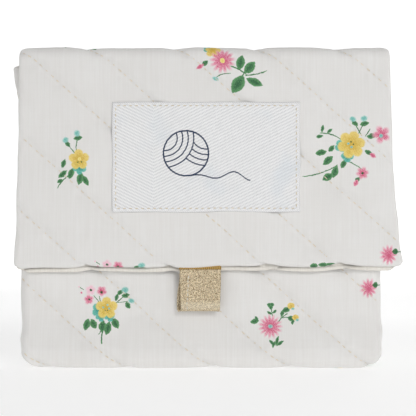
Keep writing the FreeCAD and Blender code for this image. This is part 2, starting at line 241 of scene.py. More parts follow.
flap_line = rounded_path(
    [(split_y, top_z), (flap_face, top_z), (flap_face, hem_z), (flap_inside - 1.6, hem_z + 0.2)],
    [TOP_ROUND, 1.9],
)
back_line = rounded_path(
    [(seam_y, 0), (back_face, 0), (back_face, top_z), (split_y, top_z)], [5.5, TOP_ROUND]
)
front_line = rounded_path(
    [
        (panel_face + RIM_ROUND, mouth_z), (panel_face, mouth_z), (panel_face, 21),
        (fold_face, 8), (fold_face, 0), (seam_y, 0),
    ],
    [RIM_ROUND - 0.05, 14, 9, 5.5],
)
LINING_ROUND = 1.2
flap_lining_line = rounded_path(
    [
        (split_y, inner_top), (flap_inside, inner_top), (flap_inside, lip_z),
        (flap_inside - 1.6, lip_z), (flap_inside - 1.6, hem_z + 0.3),
    ],
    [LINING_ROUND, 0.78, 0.78],
)
back_lining_line = rounded_path(
    [(seam_y, 5), (pocket_back, 5), (pocket_back, inner_top), (split_y, inner_top)],
    [2.5, LINING_ROUND],
)
front_lining_line = rounded_path(
    [
        (panel_face + RIM_ROUND, mouth_z), (pocket_front, mouth_z), (pocket_front, 5), (seam_y, 5)
    ],
    [RIM_ROUND - 0.05, 2.5],
)
print("side view points:", len(flap_line), len(back_line), len(front_line))

# %% [markdown]
# ## Where the sides are
#
# Seen from the front the pouch isn't a rectangle. The flap widens towards its hem, the mouth of
# the pocket flares out on the left, and the corners are rounded. Each side is a smooth function
# of height, so it can be asked for at any point of the cloth.

# %% The sides in front view
FLARE_FROM = 98.0
NARROW_FROM, NARROW_OVER = 106.0, 18.0
SEAM_ALLOWANCE = 3.0


def soft_corner(above, radius):
    """How far a side draws in near an end: radius - sqrt(radius^2 - (radius - above)^2)."""
    inside = np.clip(radius - above, 0, radius)
    return radius - np.sqrt(np.maximum(radius ** 2 - inside ** 2, 0))


def flap_side(z, top_x, hem_x, corner):
    """Widens steadily down the flap, and faster near the hem, with a rounded corner there."""
    way = np.clip((top_z - z) / (top_z - hem_z), 0, 1)
    widen = (hem_x - top_x) * (0.42 * way + 0.58 * way ** 4.5)
    ripple = 0.22 * np.sin(z / 6.3 + top_x) + 0.16 * np.sin(z / 2.9)
    return top_x + widen + ripple * way - np.sign(hem_x) * soft_corner(z - hem_z + 0.8, corner)


def body_side(z, base_x, mouth_x, flare):
    """Straight with a few soft ripples, rounded at the foot and flared at the mouth."""
    reach = smooth_step((z - FLARE_FROM) / (mouth_z - FLARE_FROM))
    ripple = 0.35 * np.sin(z / 5.2 + base_x) * np.exp(-(((z - 14) / 11) ** 2)) + 0.18 * np.sin(z / 7.1)
    bulge = 0.8 * np.exp(-(((z - 13 - 0.02 * base_x) / 3.6) ** 2))
    drawn = np.sign(base_x) * soft_corner(z, 5.0)
    return base_x + flare * (mouth_x - base_x) * reach + np.sign(base_x) * bulge + ripple - drawn


def back_side(z, base_x, mouth_x, top_x):
    """The same side as the front panel's up to the fork of the side seam, then the top fold's."""
    narrowed = smooth_step((z - NARROW_FROM) / NARROW_OVER)
    return body_side(z, base_x, mouth_x, 0.3) * (1 - narrowed) + top_x * narrowed


# The side seam forks into two where the mouth opens, and rounds the bottom fold at the core.
FORK = 108.0
FORK_LENGTH = 8.0
CORE = 6.0
FLAP_ROLL, BODY_ROLL, POCKET_ROLL = 2.6, 4.2, 3.4
FLAP_MARK, PANEL_MARK = 80.0, 60.0


def make_strip(line, v, sides, roll, seam, inward=1.0):
    """What the cloth needs at each point of its side view, sorted by v: place, outward direction,
    side seam, and left and right sides. The seam is half the quilt's thickness behind the face,
    or, where front and back panels share a seam, on the middle plane of the pocket."""
    normal = path_normal(line)
    behind = line - inward * normal * quilt / 2
    strip = {
        "v": v, "y": line[:, 0], "z": line[:, 1],
        "ny": inward * normal[:, 0], "nz": inward * normal[:, 1],
        "left": sides[0], "right": sides[1],
    }
    seam_place = seam(line, behind)
    strip["seam_y"], strip["seam_z"] = seam_place[:, 0], seam_place[:, 1]
    order = np.argsort(strip["v"])
    strip = {name: np.asarray(values)[order] for name, values in strip.items()}
    strip["roll"] = roll
    return strip


def body_seam(line, behind):
    """Below the fork the seam is on the pocket's middle plane and rounds the bottom fold's core."""
    height = line[:, 1]
    core = (np.maximum(height, 0) ** 4 + CORE ** 4) ** 0.25
    shared = np.stack([np.full_like(height, seam_y), core], 1)
    own = smooth_step((height - FORK) / FORK_LENGTH)[:, None]
    return shared * (1 - own) + behind * own


def hem_seam(line, behind):
    """Down the flap the seam is inside the quilt, and it stops a little above the hem."""
    height = line[:, 1]
    core = np.stack([np.full_like(height, flap_face + quilt / 2), np.maximum(height, hem_z + 1.6)], 1)
    low = smooth_step((hem_z + 6 - height) / 4)[:, None] * (line[:, 0:1] < flap_inside + 0.5)
    return core * low + behind * (1 - low)


# The cloth's own length, v, is the height where the cloth lies on the front of the flap.
def mark(line, height, face):
    """The point of a side view that lies on a flat face at a given height."""
    return np.argmin(np.abs(line[:, 1] - height) + 9 * np.abs(line[:, 0] - face))


flap_walk, back_walk, front_walk = (path_length(line) for line in (flap_line, back_line, front_line))
at_flap = mark(flap_line, FLAP_MARK, flap_face)
v_split = FLAP_MARK + flap_walk[at_flap]
v_split += flap_line[at_flap, 1] - FLAP_MARK
v_bottom = v_split + back_walk[-1]
v_rim = v_bottom + front_walk[-1]
at_front = mark(front_line, PANEL_MARK, panel_face)
v_front = v_rim - front_walk[at_front] - front_line[at_front, 1]
at_back = mark(back_line, PANEL_MARK, back_face)
v_back = v_bottom - back_walk[at_back] + back_line[at_back, 1]


def lining_length(line, height, face, v_there, way):
    """The cloth length on a lining, matched to the outer cloth at one height, so that the
    quilting goes through both."""
    walk = path_length(line)
    start = mark(line, height, face)
    return v_there + way * (walk[start] - walk)


def flap_sides(z):
    """The flap's left and right sides. Its left corner is a little rounder."""
    return flap_side(z, top_low[0], flap_low[0], 4.2), flap_side(z, top_high[0], flap_high[0], 3.6)


def front_sides(z):
    """The front panel's left and right sides."""
    return (
        body_side(z, base_low[0], front_low[0], 1.0),
        body_side(z, base_high[0], front_high[0], 1.0),
    )


def back_sides(z):
    """The back panel's left and right sides."""
    return (
        back_side(z, base_low[0], front_low[0], top_low[0]),
        back_side(z, base_high[0], front_high[0], top_high[0]),
    )


def lining_sides(sides):
    """A lining is narrower than its cloth by the seam allowance, below the fork."""
    def narrower(z):
        left, right = sides(z)
        allowance = SEAM_ALLOWANCE * (1 - smooth_step((z - 94) / 10))
        return left + allowance, right - allowance
    return narrower


flap_strip = make_strip(
    flap_line, v_split - flap_walk, flap_sides(flap_line[:, 1]), FLAP_ROLL, hem_seam
)
back_strip = make_strip(
    back_line, v_bottom - back_walk, back_sides(back_line[:, 1]), BODY_ROLL, body_seam
)
front_strip = make_strip(
    front_line, v_rim - front_walk, front_sides(front_line[:, 1]), BODY_ROLL, body_seam
)
flap_lining_strip = make_strip(
    flap_lining_line,
    lining_length(flap_lining_line, FLAP_MARK, flap_inside, FLAP_MARK, 1),
    flap_sides(flap_lining_line[:, 1]), FLAP_ROLL, hem_seam, inward=-1.0,
)
back_lining_strip = make_strip(
    back_lining_line,
    lining_length(back_lining_line, PANEL_MARK, pocket_back, v_back - PANEL_MARK, 1),
    lining_sides(back_sides)(back_lining_line[:, 1]), POCKET_ROLL, body_seam, inward=-1.0,
)
front_lining_strip = make_strip(
    front_lining_line,
    lining_length(front_lining_line, PANEL_MARK, pocket_front, v_front + PANEL_MARK, 1),
    lining_sides(front_sides)(front_lining_line[:, 1]), POCKET_ROLL, body_seam, inward=-1.0,
)
print(f"cloth strip {v_rim - flap_strip['v'][0]:.0f} mm long, split {v_split:.1f}, bottom {v_bottom:.1f}")

# %% [markdown]
# ## Quilting
#
# The cloth, the wadding and the lining are stitched together along slanting lines. Each line pulls
# the cloth into a shallow groove, and the wadding pushes it up again within a few millimetres, so
# the height between two lines is a steep rise and a flat crown. Along a groove the thread gathers
# the cloth a little: small puckers fade out sideways. Broad swells and faint upright slack in the
# cotton keep the crowns from looking machined. All of it is a formula of the cloth's own
# coordinates, so it follows the stitch lines and comes out the same each time.

# %% Quilting lines and relief
SLANT = math.radians(42)
ACROSS = np.array([math.sin(SLANT), math.cos(SLANT)])
ALONG = np.array([math.cos(SLANT), -math.sin(SLANT)])
GROOVE = 1.5
GROOVE_REACH = 7.5
FLAP_PITCH, FRONT_PITCH = 22.0, 21.6
PUCKERS = [(4.3, 0.075), (6.9, 0.12), (11.7, 0.14), (19.0, 0.15)]
PUCKER_FADE = 3.2
SWELL = 0.07
PLATE_REACH, BORE_REACH = 9.5, 3.6
SEAT_PRESS = 0.6
FOLD_EASE = 5.0
LINING_RELIEF = 0.6

# Where the lines leave the top of the flap, and where they come out from under it, across the bag.
flap_starts = np.array([-145.0, -112.0, -72.5, -43.0, -8.0, 25.0, 57.0]) * ACROSS[0] + 126.8 * ACROSS[1]
front_starts = np.array([-143.0, -110.8, -79.0, -43.7, -12.8, 21.2, 55.2]) * ACROSS[0]
front_starts = front_starts + (39 + v_front) * ACROSS[1]
between = round((front_starts[0] - flap_starts[-1]) / FLAP_PITCH)
quilt_lines = np.concatenate([
    flap_starts[0] + FLAP_PITCH * np.arange(-4, 0),
    flap_starts,
    np.linspace(flap_starts[-1], front_starts[0], between + 1)[1:-1],
    front_starts,
    front_starts[-1] + FRONT_PITCH * np.arange(1, 9),
])
draw = np.random.default_rng(11)
pucker_phase = draw.uniform(0, 2 * math.pi, (4, 2 * len(quilt_lines) + 2))
swell_wave = draw.uniform(-1, 1, (9, 2)) * 0.16
swell_phase = draw.uniform(0, 2 * math.pi, 9)
snap_low, snap_high = ends("snap_socket_case")
snap_x, snap_z = (snap_low[0] + snap_high[0]) / 2, (snap_low[2] + snap_high[2]) / 2


def from_snap(u, v):
    """Distance along the cloth to the snap's middle, on the flap or on the front panel."""
    on_flap = np.hypot(u - snap_x, v - snap_z)
    on_front = np.hypot(u - snap_x, v - v_front - snap_z)
    return np.minimum(on_flap, on_front)


def held_flat(u, v):
    """1 over the snap's stiff plates, on the flap and on the front panel, and 0 elsewhere."""
    return np.exp(-(from_snap(u, v) / PLATE_REACH) ** 6)


def snap_dent(u, v):
    """How far the snap presses the cloth in, for a press of 1: plates, and 2 more in the bore."""
    return held_flat(u, v) + 2 * np.exp(-(from_snap(u, v) / BORE_REACH) ** 6)


def quilt_relief(u, v):
    """Height of the cloth above its flat crown. Between two lines it is -GROOVE (1 - d / reach)^3
    at distance d from the nearer line. Puckers are sums of cosines along the line, fading as
    exp(-d / PUCKER_FADE), and swells are sums of long plane waves."""
    place = u * ACROSS[0] + v * ACROSS[1]
    above = np.clip(np.searchsorted(quilt_lines, place), 1, len(quilt_lines) - 1)
    below = above - 1
    to_low, to_high = place - quilt_lines[below], quilt_lines[above] - place
    distance = np.minimum(to_low, to_high)
    side = np.where(to_low < to_high, 2 * below + 1, 2 * above)
    run = u * ALONG[0] + v * ALONG[1]
    dip = -GROOVE * (1 - np.clip(distance / GROOVE_REACH, 0, 1)) ** 3
    pucker = sum(
        size * np.cos(2 * math.pi * run / wave + pucker_phase[number][side])
        for number, (wave, size) in enumerate(PUCKERS)
    ) * np.exp(-distance / PUCKER_FADE) * np.clip(distance / 0.8, 0, 1)
    swell = sum(
        SWELL * np.cos(u * wave[0] + v * wave[1] + phase)
        for wave, phase in zip(swell_wave, swell_phase)
    )
    slack = 0.03 * np.cos(u * 1.35 + 1.7 * np.sin(v / 31)) * np.cos(v / 23 + u / 17)
    return (dip + pucker + swell + slack) * (1 - 0.85 * held_flat(u, v))


def hem_drift(x, z):
    """The hem isn't ruled: it climbs a little to the right and waves, fading out up the flap."""
    near = smooth_step((74 - z) / 30)
    return near * (0.45 * x / 79 + 0.26 * np.sin(x / 8.7 + 0.6) + 0.12 * np.sin(x / 3.9))


def cloth_point(strip, v, u, relief=1.0, drift=0.0):
    """A point of the padded cloth. In the middle it is the side view's point plus the relief.
    Within the roll at a side it turns by an angle a: it goes out by roll (1 - sin a) less than the
    side, and from face to seam by 1 - cos a, as round the edge of a pillow."""
    at = {name: np.interp(v, strip["v"], values) for name, values in strip.items() if name != "roll"}
    roll = strip["roll"]
    right_half = u > (at["left"] + at["right"]) / 2
    over = np.where(right_half, u - (at["right"] - roll), at["left"] + roll - u)
    turn = np.clip(over / roll, 0, math.pi / 2)
    sign = np.where(right_half, 1.0, -1.0)
    edge = np.where(right_half, at["right"], at["left"])
    pinch = 0.5 * (turn / (math.pi / 2)) ** 6
    x = np.where(over > 0, edge - sign * (roll * (1 - np.sin(turn)) + pinch), u)
    pull = 1 - np.cos(turn)
    height = (at["ease"] * relief * quilt_relief(u, v) - at["press"] * snap_dent(u, v)) * np.cos(turn)
    gather = 0.10 * np.sin(turn * 2) * (np.cos(v / 1.1 + u) + np.cos(v / 1.9))
    lift = height + relief * gather
    y = at["y"] + (at["seam_y"] - at["y"]) * pull + at["ny"] * lift
    z = at["z"] + (at["seam_z"] - at["z"]) * pull + at["nz"] * lift
    z = np.maximum(z + drift * hem_drift(x, z), 0.0)
    return np.stack([x, y, z], -1)


def cloth_grid(strip, step, relief=1.0, drift=0.0):
    """A grid over a whole strip, rolled edges included, and its (u, v) coordinates."""
    roll = strip["roll"]
    spare = roll * (math.pi / 2 - 1)
    v = strip["v"][::-1]
    left, right = (strip[name][::-1] for name in ("left", "right"))
    columns = int((right - left).max() / step) + 1
    share = np.linspace(0, 1, columns)
    u = (left - spare)[:, None] * (1 - share) + (right + spare)[:, None] * share
    v = np.repeat(v[:, None], columns, 1)
    return cloth_point(strip, v, u, relief, drift), np.stack([u, v], -1)


for strip, press in (
    (front_strip, SEAT_PRESS), (flap_lining_strip, SEAT_PRESS), (flap_strip, 0.0), (back_strip, 0.0),
    (back_lining_strip, 0.0), (front_lining_strip, 0.0),
):
    strip["press"] = np.full_like(strip["v"], press)
    strip["ease"] = np.ones_like(strip["v"])
# Where the two linings meet at the fold, both lie flat, so their edges stay together.
to_fold = flap_lining_strip["v"].max() - flap_lining_strip["v"]
flap_lining_strip["ease"] = smooth_step(to_fold / FOLD_EASE)
from_fold = back_lining_strip["v"] - back_lining_strip["v"].min()
back_lining_strip["ease"] = smooth_step(from_fold / FOLD_EASE)
print(f"{len(quilt_lines)} quilting lines, deepest groove {GROOVE} mm")

# %% [markdown]
# ## Shader sums in plain Python
#
# A pattern in a material is arithmetic on coordinates. `Wire` wraps one socket, so that an
# expression such as `1 - mask * 0.5` adds the Math nodes by itself. Every other node comes from
# `Finish.node`, which sets the node up first and then fills or links its sockets.

# %% Shader helpers
class Wire:
    """A socket that adds Math nodes when it is used in a sum."""

    def __init__(self, finish, socket):
        self.finish, self.socket = finish, socket

    def math(self, operation, *values):
        return self.finish.node("ShaderNodeMath", {"operation": operation}, dict(enumerate(values)))

    def __add__(self, other):
        return self.math("ADD", self, other)

    def __sub__(self, other):
        return self.math("SUBTRACT", self, other)

    def __rsub__(self, other):
        return self.math("SUBTRACT", other, self)

    def __mul__(self, other):
        return self.math("MULTIPLY", self, other)

    def __truediv__(self, other):
        return self.math("DIVIDE", self, other)

    __radd__ = __add__
    __rmul__ = __mul__

    def size(self):
        return self.math("ABSOLUTE", self)

    def sine(self):
        return self.math("SINE", self)

    def least(self, other):
        return self.math("MINIMUM", self, other)

    def most(self, other):
        return self.math("MAXIMUM", self, other)

    def power(self, other):
        return self.math("POWER", self, other)


class Finish:
    """A material with a Principled shader, and the nodes that feed it."""

    def __init__(self, name, **uniform):
        self.material = bpy.data.materials.new(name)
        self.material.use_nodes = True
        self.tree = self.material.node_tree
        self.shader = self.tree.nodes["Principled BSDF"]
        for socket, value in uniform.items():
            self.shader.inputs[socket.replace("_", " ")].default_value = value

    def node(self, kind, settings=(), inputs=(), output=0):
        made = self.tree.nodes.new(kind)
        for name, value in dict(settings).items():
            setattr(made, name, value)
        for name, value in dict(inputs).items():
            if isinstance(value, Wire):
                self.tree.links.new(value.socket, made.inputs[name])
            else:
                made.inputs[name].default_value = value
        return Wire(self, made.outputs[output])

    def feed(self, name, wire):
        self.tree.links.new(wire.socket, self.shader.inputs[name])

    def place(self, layer):
        """The piece's own flat coordinates, in millimetres."""
        return self.node("ShaderNodeUVMap", {"uv_map": layer})

    def parts(self, vector):
        """The first two numbers of a coordinate, u and v or x and y."""
        split = self.node("ShaderNodeSeparateXYZ", (), {0: vector})
        return split, Wire(self, split.socket.node.outputs[1])

    def local(self, vector, x=0.0, y=0.0, turn=0.0, size_x=1.0, size_y=1.0):
        """The coordinate seen from a centre, turned and measured in the given sizes."""
        return self.node("ShaderNodeMapping", {"vector_type": "TEXTURE"}, {
            "Vector": vector, "Location": (x, y, 0), "Rotation": (0, 0, math.radians(turn)),
            "Scale": (size_x, size_y, 1),
        })

    def noise(self, vector, scale, detail=2.0, rough=0.5, output=0):
        return self.node("ShaderNodeTexNoise", {"noise_dimensions": "3D"}, {
            "Vector": vector, "Scale": scale, "Detail": detail, "Roughness": rough,
        }, output)

    def span(self, value, low, high, to_low=0.0, to_high=1.0):
        """A soft step from one level to another as a value goes from low to high."""
        return self.node("ShaderNodeMapRange", {"interpolation_type": "SMOOTHSTEP"}, {
            "Value": value, "From Min": low, "From Max": high, "To Min": to_low, "To Max": to_high,
        })

    def mix(self, share, first, second):
        return self.node("ShaderNodeMix", {"data_type": "RGBA"}, {0: share, 6: first, 7: second}, 2)

    def bump(self, height, strength, depth_mm, below=None):
        inputs = {"Height": height, "Strength": strength, "Distance": depth_mm * MM}
        if below is not None:
            inputs["Normal"] = below
        return self.node("ShaderNodeBump", (), inputs)

    def length(self, vector):
        made = self.tree.nodes.new("ShaderNodeVectorMath")
        made.operation = "LENGTH"
        self.tree.links.new(vector.socket, made.inputs[0])
        return Wire(self, made.outputs["Value"])


def colour(red, green, blue):
    """A colour from screen values of 0 to 255, as the light it stands for."""
    def light(value):
        share = value / 255
        return share / 12.92 if share <= 0.04045 else ((share + 0.055) / 1.055) ** 2.4
    return (light(red), light(green), light(blue), 1.0)


# %% [markdown]
# ## Plain cotton
#
# Fine cotton is a plain weave: a warp thread goes over one weft thread and under the next. The
# product of two sines gives that checker of tiny crowns, a few to the millimetre. Real yarn has
# thicker places, slubs, which stretched noise draws along both directions. Both feed the bump,
# and, very faintly, the colour and the roughness.

# %% Cotton ground
def weave(finish, vector, pitch):
    """Plain weave: sin(u) sin(v) crowns with slubs that run along the yarns."""
    u, v = finish.parts(vector)
    count = 2 * math.pi / pitch
    wander = finish.noise(finish.local(vector, size_x=1.6, size_y=14), 1.0)
    crowns = (u * count + wander * 4).sine() * (v * count + wander * 3).sine()
    slub_up = finish.noise(finish.local(vector, size_x=0.7, size_y=22), 1.0, 3)
    slub_across = finish.noise(finish.local(vector, size_x=18, size_y=0.8), 1.0, 2)
    return crowns, slub_up, slub_across


def cotton_ground(finish, vector, pale, shade, pitch=0.34):
    """The cloth's colour before any print, and its relief."""
    crowns, slub_up, slub_across = weave(finish, vector, pitch)
    cloudy = finish.noise(vector, 0.05, 3)
    tone = slub_up * 0.50 + slub_across * 0.12 + cloudy * 0.38
    ground = finish.mix(finish.span(tone, 0.30, 0.72), shade, pale)
    fleck = finish.span(finish.noise(vector, 1.7, 1), 0.76, 0.80)
    ground = finish.mix(fleck * 0.10, ground, colour(176, 166, 150))
    relief = crowns * 0.22 + slub_up * 0.50 + slub_across * 0.15
    creases = finish.noise(finish.local(vector, size_x=4.5, size_y=16), 1.0, 3)
    soft = finish.bump(creases, 0.35, 0.45)
    normal = finish.bump(relief, 0.25, 0.08, soft)
    finish.feed("Normal", normal)
    finish.feed("Roughness", finish.span(slub_up, 0.3, 0.7, 0.82, 0.94))
    return ground, tone


PALE_COTTON = colour(235, 234, 232)
SHADE_COTTON = colour(229, 227, 224)


# %% [markdown]
# ## The flower print
#
# The print is a handful of small sprays, repeated over the cloth. Drawing each spray again at
# every place would take thousands of nodes. Instead every spray is drawn once, in a material of
# its own on the same cotton ground. The faces near a place where that spray is printed get this
# material, and a second UV map, "print", gives their distance from the spray's middle.
#
# Each shape is a number that is 0 at its middle and 1 on its outline: an ellipse, a pointed leaf,
# a ring of petals or a stem. The least of many such numbers is all the shapes of one colour.

# %% Painted shapes
class Inks:
    """Collects the shapes of each colour in one spray."""

    def __init__(self, finish, vector):
        self.finish, self.vector = finish, vector
        self.shapes = {}

    def add(self, ink, shape):
        known = self.shapes.get(ink)
        self.shapes[ink] = shape if known is None else known.least(shape)

    def spot(self, ink, x, y, wide, high=None, turn=0):
        """An ellipse: the distance from its middle, in its own half sizes."""
        high = wide if high is None else high
        self.add(ink, self.finish.length(
            self.finish.local(self.vector, x, y, turn, wide, high)
        ))

    def leaf(self, ink, x, y, reach, wide, turn):
        """A pointed leaf: |across| + along squared."""
        along, across = self.finish.parts(
            self.finish.local(self.vector, x, y, turn, reach * 1.08, wide * 1.22)
        )
        self.add(ink, along.math("MULTIPLY_ADD", along, along, across.size()))

    def flower(self, ink, x, y, size, petals, turn=0, notch=0.35, squash=1.0):
        """A ring of petals: the distance from the middle over 1 - notch + notch |cos(n a / 2)|."""
        place = self.finish.local(self.vector, x, y, turn, size * 1.12, size * squash * 1.12)
        along, across = self.finish.parts(place)
        angle = along.math("ARCTAN2", across, along)
        petal = (angle * (petals / 2)).math("COSINE", angle * (petals / 2)).size().power(0.6)
        self.add(ink, self.finish.length(place) / (petal * notch + (1 - notch)))

    def stem(self, ink, x, y, reach, wide, turn, bend=0.0):
        """A thin curved line: |across - bend (1 - along squared)| over its half width."""
        along, across = self.finish.parts(
            self.finish.local(self.vector, x, y, turn, reach, 1.0)
        )
        off = across - bend * (1 - along * along)
        self.add(ink, (off.size() / wide).most(along.size()))


# %% [markdown]
# The sprays themselves are drawn with those four calls, in millimetres from each spray's middle.
# They are loose little garden flowers: yellow ones on teal, pink daisies, pale buds and leaves.

# %% The sprays
def yellow_sprig(ink):
    """A yellow flower over teal leaves, with two pale buds above and dark leaves below."""
    ink.flower("yellow", 2.0, 0.2, 3.7, 5, 20)
    ink.flower("teal", 2.3, -3.0, 2.5, 5, 50)
    ink.spot("aqua", -3.4, 8.0, 1.5, 1.2, 30)
    ink.spot("aqua", 1.2, 10.6, 1.4, 1.5)
    ink.leaf("green", -2.6, 6.4, 1.5, 0.7, -50)
    ink.leaf("green", 1.6, 8.8, 1.7, 0.8, 10)
    ink.stem("green", -1.2, 4.6, 2.4, 0.16, -50)
    ink.stem("green", 1.4, 6.0, 2.9, 0.16, 85, 0.5)
    ink.leaf("green", -4.2, -1.4, 1.8, 0.8, 70)
    ink.leaf("green", -4.6, -5.6, 2.1, 0.9, 40)
    ink.leaf("green", -1.2, -5.4, 2.3, 1.0, 65)
    ink.leaf("green", 2.4, -7.4, 2.5, 1.1, 75)
    ink.leaf("green", 4.6, -8.2, 2.2, 0.9, -60)
    ink.leaf("green", -5.6, -8.4, 1.3, 0.6, 20)
    ink.stem("green", -4.2, -8.6, 3.6, 0.2, 48, 0.5)
    ink.spot("yolk", 2.2, 0.4, 0.7)
    ink.spot("dark", 3.0, -0.7, 0.25)
    ink.spot("dark", 1.6, -0.9, 0.25)


def rose_spray(ink):
    """A pink daisy with a yellow flower behind it and four large toothed leaves."""
    ink.flower("pink", -5.0, 3.0, 4.9, 13, 8, 0.42)
    ink.spot("yolk", -5.0, 3.0, 1.0)
    ink.flower("yellow", -8.8, 7.4, 2.9, 5, 10)
    ink.flower("teal", -10.6, 8.4, 2.0, 5)
    ink.leaf("pink", -14.0, 0.6, 1.9, 0.8, 35)
    ink.leaf("green", -12.0, 2.0, 1.4, 0.8, 40)
    ink.spot("aqua", -7.8, -4.2, 1.5, 1.0, -20)
    ink.stem("green", -4.6, -2.9, 2.9, 0.2, 14, 0.6)
    ink.leaf("green", 2.2, 2.2, 2.9, 1.45, 78)
    ink.leaf("green", 5.9, 0.2, 2.9, 1.6, 48)
    ink.leaf("green", 1.2, -6.4, 3.9, 2.1, 58)
    ink.leaf("green", 7.8, -5.6, 3.4, 1.3, -24)
    ink.stem("green", 1.4, -0.9, 3.6, 0.25, -28, 0.4)
    ink.stem("green", 8.4, -2.0, 4.4, 0.22, 12, -0.5)
    ink.stem("green", 3.6, -2.0, 1.8, 0.2, 60)


def garden_spray(ink):
    """The largest spray: a six-petalled yellow flower among pink ones, buds and many leaves."""
    ink.flower("yellow", 0.6, 2.2, 5.0, 6, 12, 0.30)
    ink.flower("teal", -3.6, 1.6, 2.3, 4, 30)
    ink.flower("teal", -1.0, -2.4, 2.3, 4)
    ink.spot("aqua", -0.6, 2.6, 0.6)
    ink.spot("aqua", 0.6, 1.2, 0.6)
    ink.spot("dark", 1.4, 2.4, 0.28)
    ink.spot("dark", 0.4, 3.2, 0.28)
    ink.spot("aqua", 1.2, 12.4, 1.5, 1.1, -20)
    ink.spot("aqua", 5.6, 12.6, 1.6, 1.3, 15)
    ink.leaf("green", 2.0, 10.8, 1.6, 0.7, -40)
    ink.leaf("green", 5.8, 10.6, 1.8, 0.8, 10)
    ink.stem("green", 3.2, 8.6, 2.6, 0.2, -60)
    ink.stem("green", 4.6, 8.8, 2.4, 0.2, 65)
    ink.flower("pink", 12.6, 6.2, 3.6, 5, 40, 0.5)
    ink.spot("aqua", 12.4, 5.6, 0.9)
    ink.leaf("green", 8.6, 5.6, 1.7, 0.9, 5)
    ink.stem("green", 7.2, 7.0, 1.8, 0.18, 60)
    ink.leaf("pink", 9.2, -2.2, 1.5, 0.9, -30)
    ink.leaf("green", 7.4, -1.0, 1.6, 0.8, -30)
    ink.flower("pink", 5.0, -9.2, 2.5, 6, 10)
    ink.spot("dark", 5.0, -9.2, 0.5)
    ink.leaf("pink", 2.4, -13.2, 1.5, 0.9, 60)
    ink.leaf("green", 3.0, -11.8, 1.2, 0.7, 50)
    ink.leaf("green", -11.6, -1.0, 2.2, 1.0, 10)
    ink.leaf("green", -7.4, 0.6, 1.6, 0.8, 50)
    ink.leaf("green", -8.8, -4.2, 2.4, 1.2, 40)
    ink.leaf("green", -6.0, -8.8, 2.3, 1.1, 70)
    ink.leaf("green", -8.8, -10.8, 2.3, 1.2, 30)
    ink.stem("green", -12.0, -8.4, 7.4, 0.22, 18, -0.8)
    ink.stem("green", -7.6, 5.4, 4.6, 0.22, -18, 0.8)
    ink.leaf("green", -12.2, 5.4, 1.4, 0.6, 10)
    ink.leaf("green", -11.0, 8.6, 1.5, 0.6, 80)
    ink.leaf("green", -8.2, 7.6, 1.3, 0.5, 40)
    ink.stem("green", 1.0, -5.8, 4.2, 0.2, -26, 0.4)
    ink.leaf("green", -2.6, -5.6, 1.8, 0.9, 60)


def bouquet(ink):
    """Three little pink flowers, two pale buds and a yellow flower over teal, gathered on a stem."""
    ink.flower("blush", -6.2, 5.6, 2.1, 5, 10)
    ink.flower("pink", -1.8, 5.2, 2.1, 5, 50)
    ink.flower("pink", -7.0, 1.8, 2.0, 5, 25)
    ink.spot("dark", -6.2, 5.6, 0.5)
    ink.spot("dark", -1.9, 4.7, 0.5)
    ink.spot("dark", -6.8, 1.8, 0.45)
    ink.spot("pink", -10.0, 4.6, 0.5)
    ink.spot("blush", -11.0, 7.0, 0.45)
    ink.stem("green", -9.8, 6.2, 0.9, 0.16, -40)
    ink.spot("aqua", 7.6, 5.6, 1.7, 1.5, 20)
    ink.spot("aqua", 10.2, 1.2, 1.5, 1.1, -20)
    ink.leaf("green", 5.6, 4.6, 1.4, 0.7, 40)
    ink.leaf("green", 7.8, 3.4, 1.6, 0.8, 10)
    ink.leaf("green", 4.2, 2.6, 1.4, 0.6, 75)
    ink.leaf("green", 8.8, -0.6, 1.5, 0.8, -60)
    ink.stem("green", 5.4, 1.2, 3.2, 0.18, 42, 0.3)
    ink.stem("green", 6.6, 0.8, 2.2, 0.16, 5)
    ink.stem("green", -3.8, 2.0, 1.9, 0.18, -50)
    ink.stem("green", -2.4, 1.6, 1.6, 0.18, -75)
    ink.flower("yellow", 0.2, -1.6, 4.0, 5, 90)
    ink.flower("teal", -3.0, -2.4, 2.6, 4, 40)
    ink.flower("teal", -2.2, -5.0, 1.9, 4, 10)
    ink.flower("teal", 1.4, -5.0, 1.9, 4, 10)
    ink.spot("aqua", -1.2, -1.4, 0.5)
    ink.spot("aqua", 1.2, -1.8, 0.5)
    ink.spot("aqua", 0.6, -0.4, 0.45)
    ink.spot("dark", -0.4, -2.6, 0.22)
    ink.spot("dark", 0.5, -2.6, 0.22)
    ink.leaf("green", -7.8, -8.2, 2.3, 1.15, 72)
    ink.leaf("green", -5.0, -8.0, 2.1, 1.1, -62)
    ink.leaf("green", -1.4, -9.0, 2.3, 1.3, 84)
    ink.leaf("green", 0.8, -9.8, 2.7, 1.2, 78)
    ink.leaf("green", 3.8, -7.8, 2.3, 1.2, -60)
    ink.stem("green", -1.2, -12.6, 3.5, 0.26, 84, 0.35)
    ink.stem("green", -2.0, -10.8, 1.8, 0.16, 62)


def side_flower(ink):
    """A pink flower seen from the side, with a green cup and a short stem."""
    ink.flower("pink", -0.8, -0.4, 3.4, 11, 0, 0.5, 1.15)
    ink.leaf("cup", 1.9, 0.9, 1.2, 1.0, 0)
    ink.stem("green", 4.6, 0.7, 2.2, 0.16, 0)


